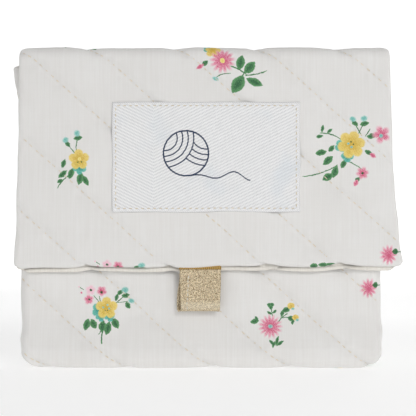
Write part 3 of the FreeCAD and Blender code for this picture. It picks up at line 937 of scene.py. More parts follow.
def pink_daisy(ink):
    """A pink daisy with a pale blue middle, a heart-shaped bud, two yellow buds and fern leaves."""
    ink.flower("pink", 0, 0, 4.7, 15, 0, 0.45)
    ink.spot("aqua", 0, 0, 1.1, 0.9)
    ink.spot("green", -0.4, 8.6, 0.9)
    ink.spot("green", 0.7, 8.6, 0.8)
    ink.leaf("green", 0.2, 7.6, 0.8, 0.7, 90)
    ink.stem("green", 0.6, 5.8, 1.7, 0.18, -80)
    ink.leaf("green", -0.4, 5.4, 1.1, 0.45, 150)
    ink.leaf("green", 1.7, 5.9, 1.1, 0.45, 40)
    ink.leaf("green", -6.4, 2.0, 1.7, 0.9, 15)
    ink.leaf("green", -5.6, 3.2, 1.0, 0.5, -60)
    ink.spot("yellow", 8.4, 8.2, 1.5, 1.3)
    ink.spot("aqua", 9.2, 7.0, 0.8, 0.6)
    ink.spot("yellow", 10.2, 3.6, 1.3, 1.1)
    ink.spot("aqua", 10.8, 2.6, 0.8, 0.6)
    ink.leaf("green", 6.4, 6.6, 1.6, 0.9, 20)
    ink.leaf("green", 4.8, 5.2, 1.5, 0.6, 75)
    ink.leaf("green", 8.4, 3.2, 1.5, 0.9, -15)
    ink.leaf("green", 9.0, 1.8, 1.2, 0.5, 80)
    ink.stem("green", 5.0, 3.4, 2.6, 0.2, 42, 0.3)
    ink.stem("green", 6.2, 3.6, 2.2, 0.16, 8)
    ink.leaf("green", 1.2, -7.4, 1.5, 0.5, 70)
    ink.leaf("green", 2.6, -5.8, 1.9, 0.55, 75)
    ink.leaf("green", 3.8, -6.8, 1.8, 0.5, 35)
    ink.leaf("green", 0.4, -6.6, 1.4, 0.45, -50)


def leaf_tips(ink):
    """Only the tips of some dark leaves."""
    ink.leaf("green", -3.2, 0.0, 1.6, 1.2, 0)
    ink.leaf("green", 0.6, 0.2, 2.0, 1.0, -15)
    ink.leaf("green", 3.6, -0.2, 2.0, 0.7, -30)


SPRAYS = [yellow_sprig, rose_spray, garden_spray, bouquet, side_flower, pink_daisy, leaf_tips]
SPRAY_REACH = [14.0, 18.5, 21.5, 18.0, 8.0, 14.0, 7.0]

# %% [markdown]
# Printing ink soaks into cotton, so an outline isn't sharp, and a petal is paler where the brush
# left less colour. A little noise bends the coordinates before the shapes are drawn, and the
# distance that each shape already gives makes the petals paler towards their edges.

# %% Printed cotton
INK_COLOURS = {
    "green": (colour(30, 96, 54), colour(92, 156, 98)),
    "teal": (colour(48, 148, 132), colour(112, 196, 182)),
    "yellow": (colour(214, 176, 58), colour(238, 214, 124)),
    "pink": (colour(208, 84, 122), colour(240, 176, 194)),
    "blush": (colour(240, 190, 206), colour(244, 214, 222)),
    "aqua": (colour(104, 186, 176), colour(176, 218, 210)),
    "cup": (colour(32, 96, 52), colour(60, 130, 76)),
    "yolk": (colour(236, 214, 112), colour(246, 232, 156)),
    "dark": (colour(34, 84, 52), colour(48, 104, 62)),
}


def cotton(name, spray=None):
    """The quilted cotton, plain or with one spray printed on it."""
    cloth = Finish(name, Sheen_Weight=0.12, Sheen_Roughness=0.5, IOR=1.4)
    ground, tone = cotton_ground(cloth, cloth.place("cloth"), PALE_COTTON, SHADE_COTTON)
    if spray is None:
        cloth.feed("Base Color", ground)
        return cloth
    flat = cloth.place("print")
    hand = cloth.noise(flat, 1.1, 2, 0.6, output=1)
    moved = cloth.node("ShaderNodeVectorMath", {"operation": "MULTIPLY_ADD"}, {
        0: hand, 1: (0.75, 0.75, 0), 2: flat,
    })
    inks = Inks(cloth, cloth.node("ShaderNodeVectorMath", {"operation": "SUBTRACT"}, {
        0: moved, 1: (0.375, 0.375, 0),
    }))
    spray(inks)
    brush = cloth.noise(flat, 1.9, 3, 0.6)
    strokes = cloth.noise(cloth.local(flat, turn=35, size_x=0.25, size_y=1.6), 1.0, 2)
    for ink, (deep, light) in INK_COLOURS.items():
        if ink not in inks.shapes:
            continue
        shape = inks.shapes[ink]
        paler = cloth.span(brush * 0.55 + strokes * 0.45 + shape * 0.30, 0.50, 0.84)
        firm = 0.62 if ink in ("pink", "blush", "aqua") else 0.92
        soaked = cloth.span(shape, firm, 1.08, 0.96, 0.0) * cloth.span(tone, 0.30, 0.42, 0.86, 1.0)
        ground = cloth.mix(soaked, ground, cloth.mix(paler, deep, light))
    cloth.feed("Base Color", ground)
    print(f"{name}: {len(cloth.tree.nodes)} nodes")
    return cloth


plain_cotton = cotton("cotton_plain")
sprayed_cotton = [cotton("cotton_" + spray.__name__, spray) for spray in SPRAYS]

# %% [markdown]
# ## Lining and threads
#
# The lining is the same cotton without a print, a little creamier. Each thread is twisted, so one
# slanting sine gives its plies.

# %% Lining and thread finishes
lining = Finish("cotton_lining", Sheen_Weight=0.12, Sheen_Roughness=0.5, IOR=1.4)
lining_place = lining.place("cloth")
lining_ground = cotton_ground(
    lining, lining_place, colour(238, 235, 228), colour(226, 221, 212), 0.38
)[0]
lining.feed("Base Color", lining_ground)


def thread_finish(name, pale, deep, pitch):
    """Twisted thread: slanting plies from one sine, with painted shade in the grooves between them."""
    thread = Finish(name, Sheen_Weight=0.2, IOR=1.45)
    place = thread.node("ShaderNodeTexCoord", (), (), 3)
    x, y = thread.parts(place)
    z = Wire(thread, x.socket.node.outputs[2])
    plies = ((x * 1.6 + y + z) * (2 * math.pi / (pitch * MM))).sine()
    mottle = thread.noise(place, 900.0, 2)
    # The plies darken the colour in their grooves as painted shade, over a random mottle.
    thread.feed("Base Color", thread.mix(thread.span(plies * 0.3 + mottle, 0.2, 0.8), deep, pale))
    thread.feed("Roughness", thread.span(mottle, 0.3, 0.7, 0.62, 0.8))
    thread.feed("Normal", thread.bump(plies, 0.5, 0.08))
    return thread


quilting_thread = thread_finish("thread_quilting", colour(240, 229, 208), colour(214, 198, 170), 0.42)
label_thread = thread_finish("thread_label", colour(234, 224, 200), colour(208, 192, 160), 0.36)
tab_thread = thread_finish("thread_tab", colour(240, 236, 226), colour(216, 208, 192), 0.36)

# %% [markdown]
# ## Cutting and sewing the padded pieces
#
# Front, back and flap are each one grid over their own stretch of the cloth. They meet in the flat
# middle of the top fold and under the bottom.
#
# The sprays are then stamped: every face near a spray gets the spray's own coordinates.

# %% Stamping the print
def stamps():
    """Each spray on the cloth: its kind and its middle (u, v)."""
    placed = [
        (0, -53.6, 84.0), (1, 10.8, 120.8), (2, 56.8, 88.0), (3, -34.2, 36.4),
        (4, 73.0, 46.0), (6, 45.6, 41.4), (0, -51.0, 141.5), (5, 86.5, 62.0),
        (3, -41.2, v_front + 26.0), (5, 25.2, v_front + 17.0), (4, 65.8, v_front + 32.8),
        (0, -86.0, v_front + 7.0), (3, 84.0, v_front + 36.0), (1, 62.0, v_front - 12.0),
        (5, -30.0, v_front - 18.0),
    ]
    order = [2, 0, 5, 3, 1, 0, 3, 4, 2, 5, 0, 3]
    for row in range(4):
        for column in range(3):
            number = (row * 3 + column) % len(order)
            u = -54 + 50 * column + 22 * (row % 2) + 4 * math.sin(3.1 * row + column)
            placed.append((order[number], u, v_split + 26 + 36 * row + 5 * math.sin(column * 2.3)))
    for row in range(2):
        for column in range(3):
            u = -48 + 48 * column + 14 * row
            placed.append((order[(row * 4 + column) % 12], u, v_front + 64 + 36 * row))
    return placed


def stamp_print(piece, uv):
    """Gives every face whose middle is within a spray's reach that spray's material, and fills
    the "print" UV map with the way from the spray's middle."""
    mesh = piece.data
    for finish in sprayed_cotton:
        mesh.materials.append(finish.material)
    layer = mesh.uv_layers.new(name="print")
    corners = np.zeros(len(mesh.loops), int)
    mesh.loops.foreach_get("vertex_index", corners)
    flat = np.asarray(uv)[corners]
    middle = flat.reshape(-1, 4, 2).mean(1)
    shown = np.zeros_like(flat).reshape(-1, 4, 2)
    slots = np.zeros(len(middle), int)
    nearest = np.full(len(middle), np.inf)
    for kind, u, v in stamps():
        away = np.hypot(middle[:, 0] - u, middle[:, 1] - v) / SPRAY_REACH[kind]
        here = (away < 1) & (away < nearest)
        shown[here] = flat.reshape(-1, 4, 2)[here] - (u, v)
        slots[here] = kind + 1
        nearest[here] = away[here]
    layer.data.foreach_set("uv", shown.ravel())
    mesh.polygons.foreach_set("material_index", slots)


# %% [markdown]
# ## The padded pieces
#
# Each piece of cloth is laid over its strip, sewn to its body or left unbent with its transform
# baked in, and takes the place of the flat CAD parts under it.

# %% The padded pieces
CLOTH_THICK = 0.45
LINING_THICK = 0.4
LINING_STEP = 1.1


def padded_cloth(name, strip, material, thickness, step, relief, drift=0.0, inside=False):
    """One padded piece: a closed body with its cloth coordinates and, on the outside, its print."""
    points, uv = cloth_grid(strip, step, relief, drift)
    piece = thick_grid(name, points, uv, thickness, material, flip=inside)
    if not inside:
        stamp_print(piece, np.concatenate([uv.reshape(-1, 2)] * 2))
    print(f"{name}: {len(piece.data.polygons) * 2} triangles")
    return piece


def bend_at_back(piece):
    """For a piece from the pouch to the top fold: bakes its transform into its mesh, without bending it."""
    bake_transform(piece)


def bend_at_front(piece):
    """For a piece from the top fold to the flap: bakes its transform into its mesh, without bending it."""
    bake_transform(piece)


front_panel = padded_cloth("front_panel", front_strip, plain_cotton.material, CLOTH_THICK, STEP, 1.0)
back_panel = padded_cloth("back_panel", back_strip, plain_cotton.material, CLOTH_THICK, STEP, 1.0)
flap = padded_cloth("flap_front", flap_strip, plain_cotton.material, CLOTH_THICK, STEP, 1.0, drift=1.0)
front_lining = padded_cloth(
    "front_lining", front_lining_strip, lining.material, LINING_THICK, LINING_STEP,
    LINING_RELIEF, inside=True,
)
back_lining = padded_cloth(
    "back_lining", back_lining_strip, lining.material, LINING_THICK, LINING_STEP,
    LINING_RELIEF, inside=True,
)
flap_back = padded_cloth(
    "flap_lining_cloth", flap_lining_strip, lining.material, LINING_THICK, LINING_STEP,
    LINING_RELIEF, drift=1.0, inside=True,
)
for piece in (front_panel, front_lining):
    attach(piece, "pouch")
for piece in (back_panel, back_lining):
    bend_at_back(piece)
for piece in (flap, flap_back):
    bend_at_front(piece)
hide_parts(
    "front_panel_cloth", "front_panel_wadding", "bottom_fold_cloth", "bottom_fold_wadding"
)
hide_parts("back_panel_cloth", "back_panel_wadding", "left_side_seam", "right_side_seam")
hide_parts("flap_cloth", "flap_wadding", "top_fold_cloth", "top_fold_wadding")
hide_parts("front_panel_lining", "bottom_fold_lining")
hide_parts("back_panel_lining", "top_fold_lining")
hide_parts("flap_lining")

# %% [markdown]
# ## Stitches
#
# A machine stitch is a short length of thread that comes up, lies in the groove and dives again.
# One small capsule is worked out once, bent down at its ends, and then placed along every line:
# its direction is the surface's own slope there, found from two nearby points of the cloth.

# %% Stitch shapes
def capsule(length, radius, rings=6, sides=6):
    """A spindle along x: radius times sqrt(1 - t^4), its middle line lowered by 1.3 radius t^2."""
    t = np.linspace(-1, 1, rings + 2)[1:-1]
    angle = np.arange(sides) * 2 * math.pi / sides
    wide = radius * np.sqrt(1 - t ** 4)
    body = np.stack([
        np.repeat(t * length / 2, sides),
        np.outer(wide, np.cos(angle)).ravel(),
        (np.outer(wide, np.sin(angle)) - radius * 1.3 * t[:, None] ** 2).ravel(),
    ], 1)
    tips = np.array([[-length / 2, 0, -1.3 * radius], [length / 2, 0, -1.3 * radius]])
    points = np.concatenate([body, tips])
    ring = np.arange(sides)
    after = np.roll(ring, -1)
    wall = np.stack([ring, ring + sides, after + sides, after], 1)
    walls = [wall + k * sides for k in range(rings - 1)]
    first = np.stack([ring, after, np.full(sides, rings * sides)], 1)
    last_ring = (rings - 1) * sides
    last = np.stack([after + last_ring, ring + last_ring, np.full(sides, rings * sides + 1)], 1)
    return points, np.concatenate(walls)[:, ::-1], np.concatenate([first, last])[:, ::-1]


def sew(name, middle, ahead, outward, length, radius, material):
    """Places one capsule at every middle, along ahead and standing up along outward."""
    points, walls, tips = capsule(length, radius)
    ahead = ahead / np.linalg.norm(ahead, axis=1, keepdims=True)
    outward = outward - ahead * np.sum(outward * ahead, 1, keepdims=True)
    outward /= np.linalg.norm(outward, axis=1, keepdims=True)
    aside = np.cross(outward, ahead)
    placed = (
        middle[:, None]
        + points[None, :, 0:1] * ahead[:, None]
        + points[None, :, 1:2] * aside[:, None]
        + points[None, :, 2:3] * outward[:, None]
    ).reshape(-1, 3)
    placed[:, 2] = np.maximum(placed[:, 2], 0.0)
    shift = (np.arange(len(middle)) * len(points))[:, None, None]
    faces = (walls[None] + shift).reshape(-1, 4).tolist() + (tips[None] + shift).reshape(-1, 3).tolist()
    mesh = bpy.data.meshes.new(name)
    mesh.from_pydata((placed * MM).tolist(), [], faces)
    mesh.polygons.foreach_set("use_smooth", [True] * len(mesh.polygons))
    mesh.materials.append(material)
    piece = bpy.data.objects.new(name, mesh)
    bpy.context.scene.collection.objects.link(piece)
    print(f"{name}: {len(middle)} stitches")
    return piece


def surface_frame(strip, u, v, relief, drift, way):
    """Place, direction along the quilting and outward direction, from nearby cloth points."""
    reach = 0.7
    place = cloth_point(strip, v, u, relief, drift)
    ahead = cloth_point(strip, v + way[1] * reach, u + way[0] * reach, relief, drift) - cloth_point(
        strip, v - way[1] * reach, u - way[0] * reach, relief, drift
    )
    across = cloth_point(strip, v, u + reach, relief, drift) - cloth_point(
        strip, v, u - reach, relief, drift
    )
    up = cloth_point(strip, v + reach, u, relief, drift) - cloth_point(strip, v - reach, u, relief, drift)
    return place, ahead, np.cross(across, up)


STITCH_EVERY, STITCH_LENGTH, STITCH_RADIUS = 3.1, 2.25, 0.21
STITCH_LIFT = 0.10
SIDE_CLEAR = 1.6


def quilting_stitches(name, strip, low, high, material, relief=1.0, drift=0.0, side=1.0, skip=None):
    """Evenly spaced stitches on all quilting lines, between two cloth lengths."""
    run = np.arange(-330, 330, STITCH_EVERY)
    line, along = np.meshgrid(quilt_lines, run, indexing="ij")
    along = along + 0.35 * np.sin(line * 7.3) + 0.25 * np.sin(along * 2.9 + line)
    u = line * ACROSS[0] + along * ALONG[0]
    v = line * ACROSS[1] + along * ALONG[1]
    wobble = 0.12 * np.sin(along / 5.3 + line)
    u, v = (u + wobble * ACROSS[0]).ravel(), (v + wobble * ACROSS[1]).ravel()
    left = np.interp(v, strip["v"], strip["left"])
    right = np.interp(v, strip["v"], strip["right"])
    keep = (v > low) & (v < high) & (u > left + SIDE_CLEAR) & (u < right - SIDE_CLEAR)
    if skip is not None:
        keep &= ~skip(u, v)
    u, v = u[keep], v[keep]
    place, ahead, outward = surface_frame(strip, u, v, relief, drift, ALONG)
    outward *= side
    unit = outward / np.linalg.norm(outward, axis=1, keepdims=True)
    lifted = place + unit * STITCH_LIFT
    return sew(name, lifted, ahead, outward, STITCH_LENGTH, STITCH_RADIUS, material)


label_low, label_high = ends("label")


def under_label(u, v):
    """True where the label covers the flap."""
    return (u > label_low[0]) & (u < label_high[0]) & (v > label_low[2]) & (v < label_high[2])


front_stitches = quilting_stitches(
    "front_quilting", front_strip, v_bottom + 1, v_rim - 7, quilting_thread.material
)
back_stitches = quilting_stitches(
    "back_quilting", back_strip, v_split + 1, v_bottom - 1, quilting_thread.material
)
flap_stitches = quilting_stitches(
    "flap_quilting", flap_strip, hem_z + 3.4, v_split - 1, quilting_thread.material,
    drift=1.0, skip=under_label,
)
inner_stitches = quilting_stitches(
    "flap_lining_quilting", flap_lining_strip, hem_z + 4.4, flap_lining_strip["v"].max() - 1,
    quilting_thread.material, relief=LINING_RELIEF, drift=1.0, side=-1.0,
)
pocket_stitches = quilting_stitches(
    "pocket_quilting", back_lining_strip, back_lining_strip["v"].min() + 1,
    back_lining_strip["v"].max() - 6, quilting_thread.material, relief=LINING_RELIEF, side=-1.0,
)
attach(front_stitches, "pouch")
bend_at_back(back_stitches)
bend_at_back(pocket_stitches)
bend_at_front(flap_stitches)
bend_at_front(inner_stitches)
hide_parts("front_quilting_thread")
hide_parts("back_quilting_thread")
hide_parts("flap_quilting_thread", "top_fold_quilting_thread")

# %% [markdown]
# ## The woven label
#
# The label is a separate piece of white twill tape, sewn on through the flap, so it bridges the
# quilting grooves rather than sinking into them. Twill shows as fine slanting ribs that turn back
# on themselves like herring bones. A ball of yarn is drawn on it in navy: circles inside a circle,
# and a wavy end of yarn that runs away from it.

# %% Label finish
twill = Finish("twill_tape", Sheen_Weight=0.15, IOR=1.4)
label_place = twill.place("cloth")
label_across, label_up = twill.parts(label_place)
folded = (label_across + 21.0).size()
ribs = ((folded * 0.44 - label_up * 0.90) * (2 * math.pi / 1.15)).sine()
dots = ((folded * 0.90 + label_up * 0.44) * (2 * math.pi / 0.62)).sine()
yarns = twill.noise(twill.local(label_place, size_x=0.5, size_y=5), 1.0, 2)
half_x = (label_high[0] - label_low[0]) / 2
half_z = (label_high[2] - label_low[2]) / 2
edge_x = (label_across.size() - half_x) * -1
edge_z = (label_up.size() - half_z) * -1
to_edge = edge_x.least(edge_z)
selvedge = twill.span(to_edge, 1.0, 0.7)
cords = ((label_across + label_up) * (2 * math.pi / 0.9)).sine()
texture = (ribs * 0.6 + dots * 0.4) * (1 - selvedge) + cords * 0.5 * selvedge
label_ground = twill.mix(
    twill.span(texture + yarns * 0.8, -0.7, 1.1), colour(218, 218, 220), colour(247, 247, 247)
)
tint = twill.span(twill.noise(label_place, 0.045, 2), 0.55, 0.75)
label_ground = twill.mix(tint * 0.30, label_ground, colour(206, 218, 228))


def ring(x, y, radius, wide):
    """0 on a circle's line and 1 at the edge of the line."""
    return (twill.length(twill.local(label_place, x, y)) - radius).size() / wide


BALL_X, BALL_Y, BALL = -8.0, 1.5, 9.0
LINE = 0.27
LEFT_X, LEFT_Y, LEFT_TURNS = BALL_X - 8.5, BALL_Y + 6.0, (11.6, 9.4, 7.2, 5.0)
RIGHT_X, RIGHT_Y, RIGHT_TURNS = BALL_X + 8.0, BALL_Y + 7.5, (12.4, 10.2, 8.0, 5.8)


def windings(x, y, radii):
    """Turns of yarn: thin circles about one middle."""
    drawn = ring(x, y, radii[0], LINE)
    for radius in radii[1:]:
        drawn = drawn.least(ring(x, y, radius, LINE))
    return drawn


inside_ball = twill.length(twill.local(label_place, BALL_X, BALL_Y)) - BALL
left_turns = twill.length(twill.local(label_place, LEFT_X, LEFT_Y)) - LEFT_TURNS[0]
drawing = ring(BALL_X, BALL_Y, BALL, LINE + 0.06)
turns = windings(LEFT_X, LEFT_Y, LEFT_TURNS)
crossing = windings(RIGHT_X, RIGHT_Y, RIGHT_TURNS)
crossing = crossing.most(left_turns * -50 + 1)
drawing = drawing.least(turns.least(crossing).most(inside_ball * 50 + 1))
wave_x = label_across - (BALL_X + 13.0)
from_ball = label_across - BALL_X
wave_y = label_up - (BALL_Y - BALL) - (from_ball * 0.42).sine() * (from_ball * 0.085).least(1.9)
tail = (wave_y.size() / LINE).most((wave_x.size() / 13.0).power(6))
drawing = drawing.least(tail)
ragged = twill.noise(label_place, 2.4, 2) * 0.5 + ribs * 0.12
label_colour = twill.mix(twill.span(drawing + ragged, 1.35, 1.05), label_ground, colour(48, 62, 88))
twill.feed("Base Color", label_colour)
twill.feed("Roughness", twill.span(yarns, 0.3, 0.7, 0.74, 0.9))
twill.feed("Normal", twill.bump(texture, 0.5, 0.12))

# %% [markdown]
# ## Sewing on the label
#
# The tape follows the flap's crowns with softened grooves. Its edge is turned under and held by a
# running stitch, a little inside the border.

# %% Label and its stitching
LABEL_THICK = 0.4
LABEL_RELIEF = 0.32
label_columns, label_rows = 120, 72
across = np.linspace(label_low[0], label_high[0], label_columns)
down = np.linspace(label_high[2], label_low[2], label_rows)
label_u, label_v = np.meshgrid(across, down)
from_edge = np.minimum(
    np.minimum(label_u - label_low[0], label_high[0] - label_u),
    np.minimum(label_v - label_low[2], label_high[2] - label_v),
)


def label_point(u, v, lift=0.0):
    """The label's face: the flap's crowns with softened grooves, plus the label's thickness."""
    place = cloth_point(flap_strip, v, u, LABEL_RELIEF, 1.0)
    place[..., 1] -= LABEL_THICK + 0.05 + lift
    return place


label_points = label_point(label_u, label_v)
label_points[..., 0] += 0.12 * np.sin(label_v / 4.1) * smooth_step(1 - from_edge / 3)
label_points[..., 2] += 0.12 * np.sin(label_u / 5.3) * smooth_step(1 - from_edge / 3)
label_points[..., 1] -= 0.10 * np.exp(-((from_edge - 0.5) / 0.5) ** 2) - 0.22 * np.exp(-from_edge / 0.12)
middle_u, middle_v = (label_low[0] + label_high[0]) / 2, (label_low[2] + label_high[2]) / 2
label_uv = np.stack([label_u - middle_u, label_v - middle_v], -1)
label_cloth = thick_grid("label_tape", label_points, label_uv, LABEL_THICK, twill.material)
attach(label_cloth, "flap")
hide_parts("label")

INSET, PITCH = 1.5, 2.4
side_u = np.arange(label_low[0] + INSET + 1.2, label_high[0] - INSET, PITCH)
side_v = np.arange(label_low[2] + INSET + 1.2, label_high[2] - INSET, PITCH)
round_u = np.concatenate([
    side_u, side_u, np.full_like(side_v, label_low[0] + INSET), np.full_like(side_v, label_high[0] - INSET)
])
round_v = np.concatenate([
    np.full_like(side_u, label_low[2] + INSET), np.full_like(side_u, label_high[2] - INSET), side_v, side_v
])
level = np.arange(len(round_u)) < 2 * len(side_u)
stitch_way = np.where(level[:, None], np.array([[1.0, 0.03, 0.02]]), np.array([[0.03, 0.02, 1.0]]))
label_stitches = sew(
    "label_stitches", label_point(round_u, round_v, 0.06), stitch_way,
    np.tile([0.0, -1.0, 0.0], (len(round_u), 1)), 1.5, 0.17, label_thread.material,
)
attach(label_stitches, "flap")
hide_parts("label_stitching")

# %% [markdown]
# ## The gold pull tab
#
# The tab is a strip of leather with a crackled gold foil. It is folded into a loop: down the front,
# round a tight bend and up behind, and its two ends are sewn into the hem, where they gather.
# The loop swings on the hem, so it rides on its own body, and the sewn ends ride on the flap.
# Foil is metallic, with a maze of small wrinkles whose valleys have lost their gold, and a painted
# highlight: a pale band near the bottom of the loop's front.

# %% Foil finish
tab_low, tab_high = ends("pull_tab_loop")
tab_fold = tab_high[2] - tab_low[2]
foil = Finish("gold_foil", IOR=1.5)
foil_place = foil.place("cloth")
warp = foil.noise(foil_place, 1.6, 2, output=1)
warped = foil.node("ShaderNodeVectorMath", {"operation": "MULTIPLY_ADD"}, {
    0: warp, 1: (0.8, 0.8, 0), 2: foil_place,
})
cells = foil.node("ShaderNodeTexVoronoi", {"feature": "DISTANCE_TO_EDGE"}, {
    "Vector": warped, "Scale": 1.15,
})
wrinkles = foil.noise(foil_place, 1.3, 4, 0.65)
grain = foil.noise(foil_place, 3.2, 2, 0.6)
valley = foil.span(cells + wrinkles * 0.25, 0.10, 0.26)
worn = foil.span(grain * 0.6 + wrinkles * 0.4, 0.40, 0.58)
gold = foil.mix(worn, colour(196, 168, 126), colour(255, 240, 208))
gold = foil.mix(foil.span(valley * 0.8 + grain * 0.4, 0.1, 0.55), colour(120, 92, 54), gold)
foil_down = foil.parts(foil_place)[1]
# Painted highlight: a pale band mixed into the gold a little above the loop's bottom bend.
painted_highlight = foil.span((foil_down + tab_fold - 2.4).size(), 2.4, 0.5)
gold = foil.mix(painted_highlight * 0.55, gold, colour(252, 240, 214))
foil.feed("Base Color", gold)
foil.feed("Metallic", foil.span(valley, 0.0, 1.0, 0.25, 0.65))
foil.feed("Roughness", foil.span(grain, 0.3, 0.7, 0.22, 0.45))
foil.feed("Normal", foil.bump(valley * 0.6 + wrinkles * 1.0 + grain * 0.6, 0.9, 0.40))

# %% [markdown]
# ## Folding the tab
#
# The loop is a side view swept across the tab's width, narrower behind than in front. A line of
# stitches runs down near its left edge, and the ends are a crimped roll along the hem.

# %% Tab loop, its stitch line and its gathered ends
tab_line = rounded_path(
    [
        (tab_low[1] + 0.7, tab_high[2] - 0.2), (tab_low[1], tab_low[2]),
        (tab_high[1], tab_low[2]), (tab_high[1] - 1.35, tab_high[2] - 0.2),
    ],
    [1.7, 1.7], 0.4,
)
tab_walk = path_length(tab_line)
tab_share = np.linspace(0, 1, 46)
fold_at = tab_walk[-1] * 0.49
behind = smooth_step((tab_walk - fold_at + 1.5) / 3)[:, None]
hang = smooth_step((tab_high[2] - tab_line[:, 1]) / 16)[:, None]
tab_left = tab_low[0] + 0.15 + 0.55 * hang - 1.7 * behind * hang + 0.12 * np.sin(tab_walk / 2.3)[:, None]
tab_right = tab_high[0] - 0.1 - 0.15 * hang - 0.6 * behind * hang + 0.10 * np.sin(tab_walk / 3.1)[:, None]
tab_x = tab_left * (1 - tab_share) + tab_right * tab_share
sway = 0.16 * np.sin(tab_share * 7 + 1) * np.sin(tab_walk / 5)[:, None] * hang
soft_edge = 0.22 * np.exp(-np.minimum(tab_share, 1 - tab_share) * 34)
tab_out = path_normal(tab_line)
tab_points = np.stack([
    tab_x,
    tab_line[:, 0:1] + tab_out[:, 0:1] * (sway - soft_edge),
    tab_line[:, 1:2] + tab_out[:, 1:2] * (sway - soft_edge) + 0 * tab_x,
], -1)
tab_uv = np.stack([tab_x, -tab_walk[:, None] + 0 * tab_x], -1)
tab = thick_grid("tab_loop", tab_points, tab_uv, 0.65, foil.material)
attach(tab, "pull_tab")
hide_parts("pull_tab_loop")

# The stitches stop below the gathered ends, so that they clear them when the tab swings.
TAB_STITCH_EVERY, GATHER_CLEAR = 1.75, 1.6
line_z = np.arange(tab_low[2] + 1.5, tab_high[2] - GATHER_CLEAR, TAB_STITCH_EVERY)
line_share = (tab_high[2] - line_z) / (tab_high[2] - tab_low[2])
line_x = tab_low[0] + 3.9 - 0.8 * line_share + 0.12 * np.sin(line_z * 2.1)
line_y = np.interp(line_z, tab_line[::-1, 1][-len(tab_line) // 2:], tab_line[::-1, 0][-len(tab_line) // 2:])
tab_stitches = sew(
    "tab_stitches", np.stack([line_x, line_y - 0.10, line_z], 1),
    np.tile([0.06, 0.04, 1.0], (len(line_z), 1)), np.tile([0.0, -1.0, 0.0], (len(line_z), 1)),
    1.45, 0.24, tab_thread.material,
)
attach(tab_stitches, "pull_tab")
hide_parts("pull_tab_stitching")

CRIMP_PITCH = 0.85
ends_low, ends_high = ends("pull_tab_sewn_ends")
gather_turn = np.linspace(0, 2 * math.pi, 33)
gather_x = np.linspace(ends_low[0] - 0.1, ends_high[0] + 0.1, 150)
round_off = np.sqrt(np.maximum(1 - (2 * (gather_x - gather_x[0]) / np.ptp(gather_x) - 1) ** 40, 0))
rib = 1 + 0.09 * np.sin(gather_x * 2 * math.pi / CRIMP_PITCH + 0.8 * np.sin(gather_x))
centre_y, centre_z = (ends_low[1] + ends_high[1]) / 2, hem_z + 1.4
wide, tall = 0.86, 2.1
gather = np.stack([
    gather_x[None] + 0 * gather_turn[:, None],
    centre_y + wide * np.sign(np.cos(gather_turn))[:, None] * np.abs(np.cos(gather_turn))[:, None] ** 0.6
    * (rib * round_off)[None],
    centre_z + tall * np.sign(np.sin(gather_turn))[:, None] * np.abs(np.sin(gather_turn))[:, None] ** 0.6
    * (0.95 + 0.05 * rib)[None],
], -1)
mustard = Finish("gathered_leather", Roughness=0.6, IOR=1.5)
mustard_place = mustard.place("cloth")
along_hem = mustard.parts(mustard_place)[0]
ribs_seen = (along_hem * (2 * math.pi / CRIMP_PITCH)).sine()
mustard_grain = mustard.noise(mustard_place, 4.0, 3)
# The crimp ribs darken the colour between them as painted shade, over the leather's grain.
mustard.feed("Base Color", mustard.mix(
    mustard.span(ribs_seen * 0.4 + mustard_grain, 0.1, 1.0), colour(140, 106, 48), colour(206, 172, 98)
))
mustard.feed("Metallic", mustard.span(mustard_grain, 0.4, 0.7, 0.15, 0.6))
mustard.feed("Normal", mustard.bump(ribs_seen * 0.5 + mustard_grain, 0.5, 0.15))
count = len(gather_x)
gather_points = gather[:-1].reshape(-1, 3)
turns_count = len(gather_turn) - 1
ring_start = (np.arange(turns_count)[:, None] * count + np.arange(count - 1)).ravel()
ring_next = ((np.arange(turns_count)[:, None] + 1) % turns_count * count + np.arange(count - 1)).ravel()
gather_faces = np.stack([ring_start, ring_start + 1, ring_next + 1, ring_next], 1)
gathered = new_piece("tab_gathered_ends", gather_points, gather_faces, mustard.material)
corner_uv(gathered, "cloth", np.stack([gather_points[:, 0], gather_points[:, 2]], 1))
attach(gathered, "flap")
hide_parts("pull_tab_sewn_ends")

# %% [markdown]
# ## The magnetic snap
#
# The snap's parts are true shapes in the CAD already, so they stay, and only get better finishes:
# brushed nickel for the cases, and a darker, duller one for the magnet. Turning marks are rings
# about the snap's middle, from the distance to it.

# %% Metal finishes
def metal_finish(name, bright, dull, metallic, rough):
    """Turned metal: fine rings about the snap's own axis, scuffs and a few dull patches."""
    metal = Finish(name, IOR=1.5)
    place = metal.node("ShaderNodeTexCoord", (), (), 3)
    x = metal.parts(place)[0]
    z = Wire(metal, x.socket.node.outputs[2])
    off_x, off_z = x - snap_x * MM, z - snap_z * MM
    radius = (off_x * off_x + off_z * off_z).power(0.5)
    rings = (radius * (2 * math.pi / (0.16 * MM))).sine()
    scuffs = metal.noise(place, 700.0, 4, 0.7)
    patches = metal.noise(place, 160.0, 2)
    metal.feed("Base Color", metal.mix(metal.span(scuffs * 0.6 + patches * 0.4, 0.35, 0.65), dull, bright))
    metal.feed("Metallic", metal.span(patches, 0.25, 0.6, metallic - 0.1, metallic))
    metal.feed("Roughness", metal.span(scuffs, 0.3, 0.7, rough, rough + 0.18))
    metal.feed("Normal", metal.bump(rings * 0.4 + scuffs, 0.25, 0.03))
    return metal


nickel = metal_finish("brushed_nickel", colour(206, 204, 200), colour(160, 158, 152), 1.0, 0.24)
magnet = metal_finish("magnet_plating", colour(120, 120, 122), colour(86, 86, 90), 0.9, 0.42)


def refinish(node_name, finish):
    """Gives a CAD part that stays in view its material."""
    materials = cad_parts[node_name].data.materials
    materials.clear()
    materials.append(finish.material)


for node_name in (
    "snap_socket_case", "snap_socket_base", "snap_socket_washer", "snap_stud", "snap_stud_washer"
):
    refinish(node_name, nickel)
refinish("snap_socket_magnet", magnet)

